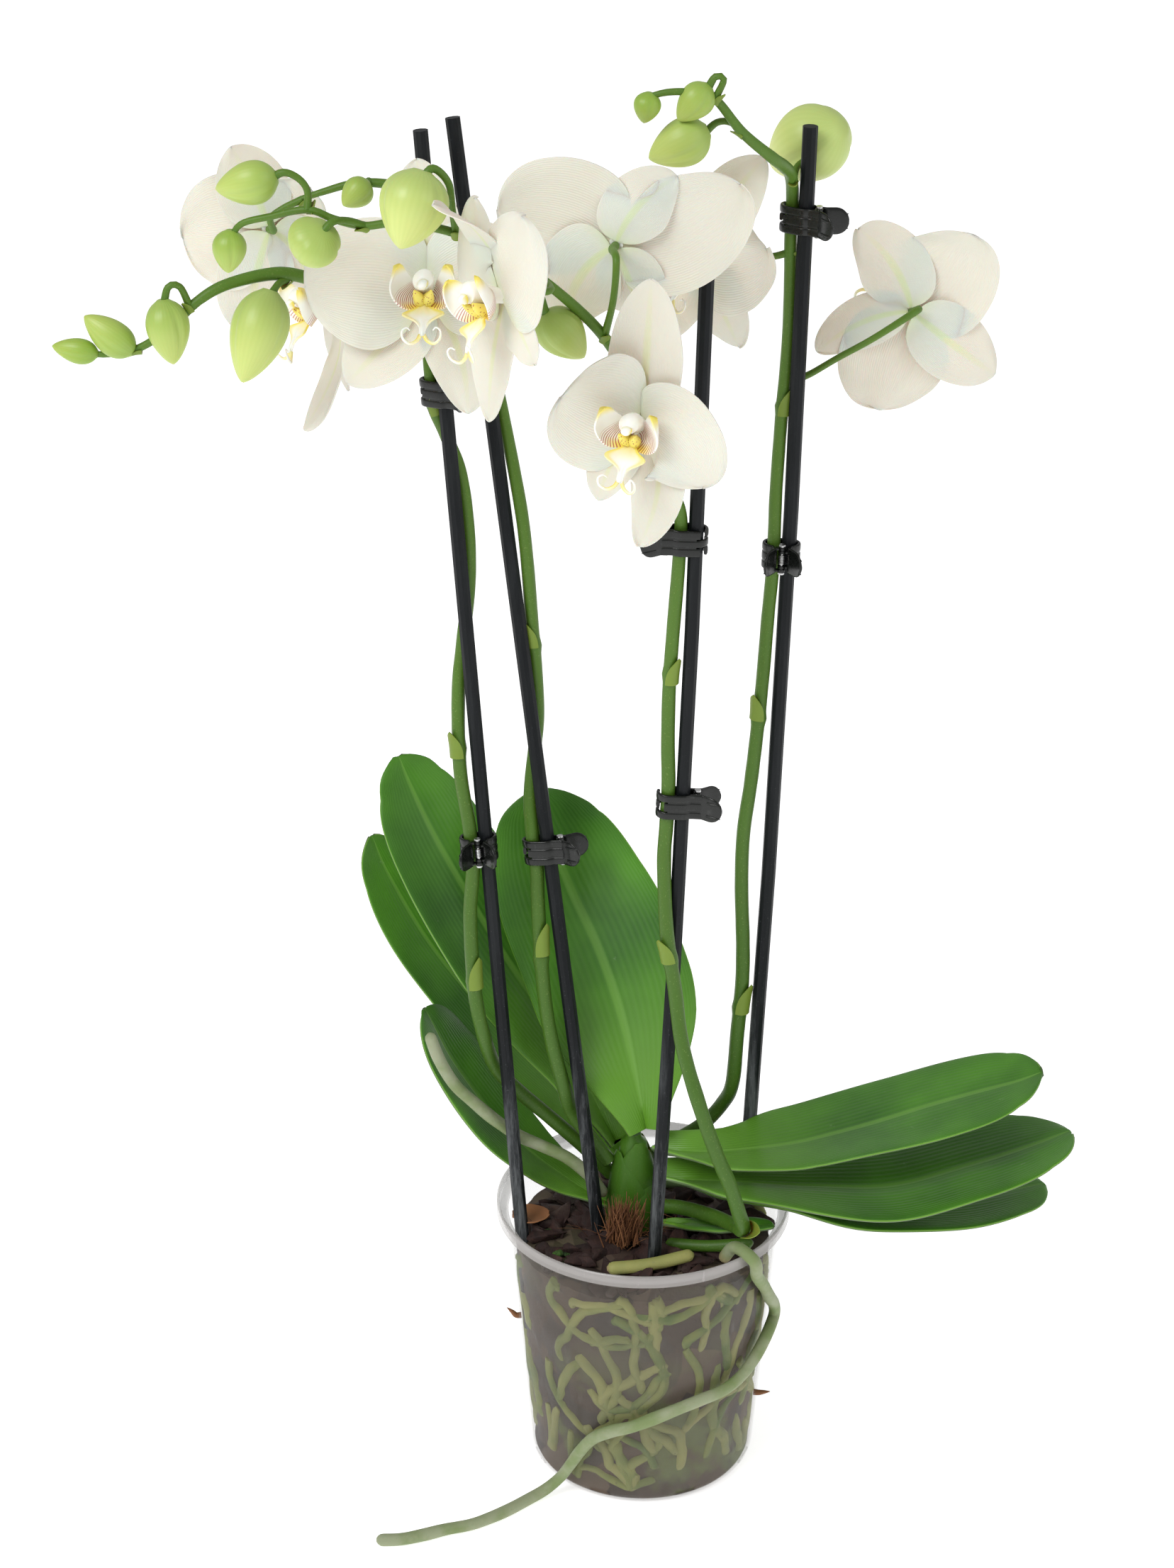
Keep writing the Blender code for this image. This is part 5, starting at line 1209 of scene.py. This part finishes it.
def buildJaw(name, grip, outer, place):
    sign = 1.0 if outer else -1.0
    half, rib = 0.5 * clipSizes["height"], clipSizes["rib"]
    middle = half / 3 + (0.5 if outer else -0.5) * clipSizes["gap"]
    levels = [-half, -middle, middle, half]
    path = [(p.x, sign * p.y) for p in smoothRoute(jawPath(*grip), 0.7)]
    fingers = max(round(len(path) * 0.22), 2)
    shape = Shape()
    for band in range(3):
        start = fingers if (band == 1) == outer else 0
        ribbon(shape, path[start:], levels[band] + rib / 2, levels[band + 1] - rib / 2, clipSizes["plate"] * 1.08)
    ribbon(shape, path[fingers + 1:], -half + 1.0, half - 1.0, clipSizes["plate"] * 0.7)
    neck, tab, spread = clipSizes["neck"], clipSizes["tab"], clipSizes["spread"]
    wing = [(-0.6, neck - 0.2, 0), (-1.6, neck, 0), (-1.6 - 0.5 * tab, neck + 0.6 * spread, 0),
            (-1.6 - tab, neck + spread, 0)]
    wing = [(p.x, sign * p.y) for p in smoothRoute(wing, 0.45)]

    def wingHeight(share):  # square at the neck, rounded at the end
        return 0.98 * math.sqrt(max(1 - max((share - 0.45) / 0.56, 0) ** 2, 0.02))

    ribbon(shape, wing, -half, half, clipSizes["plate"], wingHeight)
    for level in (-0.52, 0.52):  # a raised rim along the finger tab
        rim = [Vector((x, y + sign * 0.45, level * half)) for x, y in wing[len(wing) // 3: -1]]
        shape.tube(rim, lambda share: 0.5 * (1 - share ** 4) + 0.1, sides=8)
    outside = half - 0.3 if outer else half - 0.3 - clipSizes["ear"] - clipSizes["gap"]
    ears = clipSizes["ear"] / 2
    eye = clipSizes["pin"] + 0.25
    section = ((1.45, -ears), (1.45, ears), (eye, ears), (eye, -ears))
    turns = [heading(math.tau * step / 24) for step in range(24)]
    for side in (-1, 1):  # ears with an eye for the pin
        height = side * (outside - ears)
        rows = [[turn * reach + Vector((0, 0, height + rise)) for reach, rise in section] for turn in turns]
        shape.lay(rows + [rows[0]], [[(0, 0, 0)] * 4] * 25, caps=False)
        ribbon(shape, [(0.0, sign * 1.3), (0.0, sign * (neck - 0.4))], height - ears, height + ears, 2.4)
    body = "plant" if outer else name + "_jaw"
    kind = "_fixed_jaw" if outer else "_moving_jaw"
    putDown(camel(name + kind), shape, clipPlastic, body, [name + kind], place)


def buildClip(name, stake, height, angle, kind, turn):
    stakeRadius = stakeSizes["diameter"] / 2
    widest = max(stakeRadius, stemSizes["low"])
    near = clipSizes["coil"] + 0.5 + clipSizes["slack"] + widest
    apart = stakeRadius + stemSizes["low"] + 0.5
    reach = widest + clipSizes["slack"] + 0.5 * clipSizes["plate"]
    grip = (near, near + apart, 0.0, reach) if kind == "end" else (near, near, 0.5 * apart, reach)
    axis = (stakeCentre(stake, height + 5) - stakeCentre(stake, height - 5)).normalized()
    centre = stakeCentre(stake, height) + Vector((0, 0, soil))
    towards = heading(math.radians(angle))
    towards = (towards - axis * towards.dot(axis)).normalized()
    if kind == "end":
        forward = towards * turn
        spot = centre - forward * (near if turn > 0 else near + apart)
    else:
        forward = axis.cross(towards) * turn
        spot = centre + towards * 0.5 * apart - forward * near
    place = Matrix((forward, axis.cross(forward), axis)).transposed().to_4x4()
    place.translation = spot
    buildJaw(name, grip, True, place)
    buildJaw(name, grip, False, place)
    shape = Shape()
    end = 0.5 * clipSizes["height"] + 0.8
    head = [(0.0, 0.3), (0.0, 1.2), (0.3, 1.3), (0.7, 1.3), (0.7, clipSizes["pin"])]
    outline = [(z - end, r) for z, r in head] + [(end - z, r) for z, r in reversed(head)]
    rows = [[heading(math.tau * i / 20) * r + Vector((0, 0, z)) for i in range(20)] for z, r in outline]
    shape.lay(rows, [[(0, 0, 0)] * 20] * len(rows))
    coil = 0.5 * clipSizes["height"] - 0.3 - 2 * clipSizes["ear"] - clipSizes["gap"] - 0.7
    turns = [heading(t * 0.45) * 1.2 + Vector((0, 0, -coil + 2 * coil * t / 84)) for t in range(85)]
    shape.tube(turns, lambda share: 0.27, sides=7)
    putDown(camel(name) + "Pin", shape, pinSteel, "plant", [name + "_pin"], place)


# build everything

buildPot()
buildBarkFill()
buildChips()
buildFibres()
buildScraps()
print("pot and bark ready")
buildPottedRoots()
buildRoots()
print("roots ready")
buildCrown()
for number, (leafName, leafShape) in enumerate(leafRoutes.items()):
    buildLeaf(leafName, *leafShape, number + 1)
print("leaves ready")
for spikeName, spikeShape in spikeShapes.items():
    buildSpike(spikeName, *spikeShape)
print("spikes ready")
for number, flowerName in enumerate(flowerShapes):
    buildTepals(flowerName, number + 1)
    buildLip(flowerName, number + 1)
print("flowers ready")

for clipName, clipPlace in clipPlaces.items():
    buildClip(clipName, *clipPlace)
for nodeName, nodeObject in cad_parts.items():  # the stakes keep their own solids
    if nodeName.startswith("stake_"):
        nodeObject.data.materials.clear()
        nodeObject.data.materials.append(stakePlastic)
print("stakes and clips ready")

# floor, light and camera

studio = {"floor": 14.0, "keyEnergy": 27.0, "fillEnergy": 6.0, "world": 0.47, "floorGlow": 0.66,
          "aim": (0.0, 0.0, 0.3)}
floorFinish = Finish("paleFloor", Roughness=0.6, Emission_Color=(1.0, 1.0, 1.0, 1.0),
                     Emission_Strength=studio["floorGlow"])
floorGrain = floorFinish.grain(1.5, 2.0)
floorFinish.dress(floorFinish.mix(floorGrain, (0.86, 0.86, 0.86), (0.90, 0.90, 0.90)), 0.55 + 0.1 * floorGrain)
half = studio["floor"] / 2
floorMesh = bpy.data.meshes.new("floor")
floorMesh.from_pydata([(-half, -half, 0), (half, -half, 0), (half, half, 0), (-half, half, 0)], [], [(0, 1, 2, 3)])
floorMesh.materials.append(floorFinish.material)
placed("floor", floorMesh)


def areaLight(name, place, size, energy):
    lamp = bpy.data.lights.new(name, "AREA")
    lamp.size = size
    lamp.energy = energy
    holder = placed(name, lamp)
    holder.location = place
    holder.rotation_euler = (Vector(studio["aim"]) - Vector(place)).to_track_quat("-Z", "Y").to_euler()


areaLight("keyLight", (-1.1, -1.2, 1.9), 1.0, studio["keyEnergy"])
areaLight("fillLight", (1.5, -0.8, 1.2), 1.2, studio["fillEnergy"])
world = bpy.data.worlds.new("studioWorld")
world.use_nodes = True
sky = world.node_tree.nodes["Background"]
sky.inputs["Color"].default_value = (1.0, 1.0, 1.0, 1.0)
sky.inputs["Strength"].default_value = studio["world"]
bpy.context.scene.world = world
bpy.context.scene.view_settings.view_transform = "Standard"

eye = {"place": (-0.023, -1.250, 0.915), "pitch": 0.451, "lens": 82.35, "sensor": 36.0}
cameraData = bpy.data.cameras.new("camera")
cameraData.lens = eye["lens"]
cameraData.sensor_width = eye["sensor"]
cameraData.clip_end = 50.0
camera = placed("camera", cameraData)
camera.location = eye["place"]
camera.rotation_euler = (math.pi / 2 - eye["pitch"], 0.0, 0.0)
bpy.context.scene.camera = camera
print("stage ready")
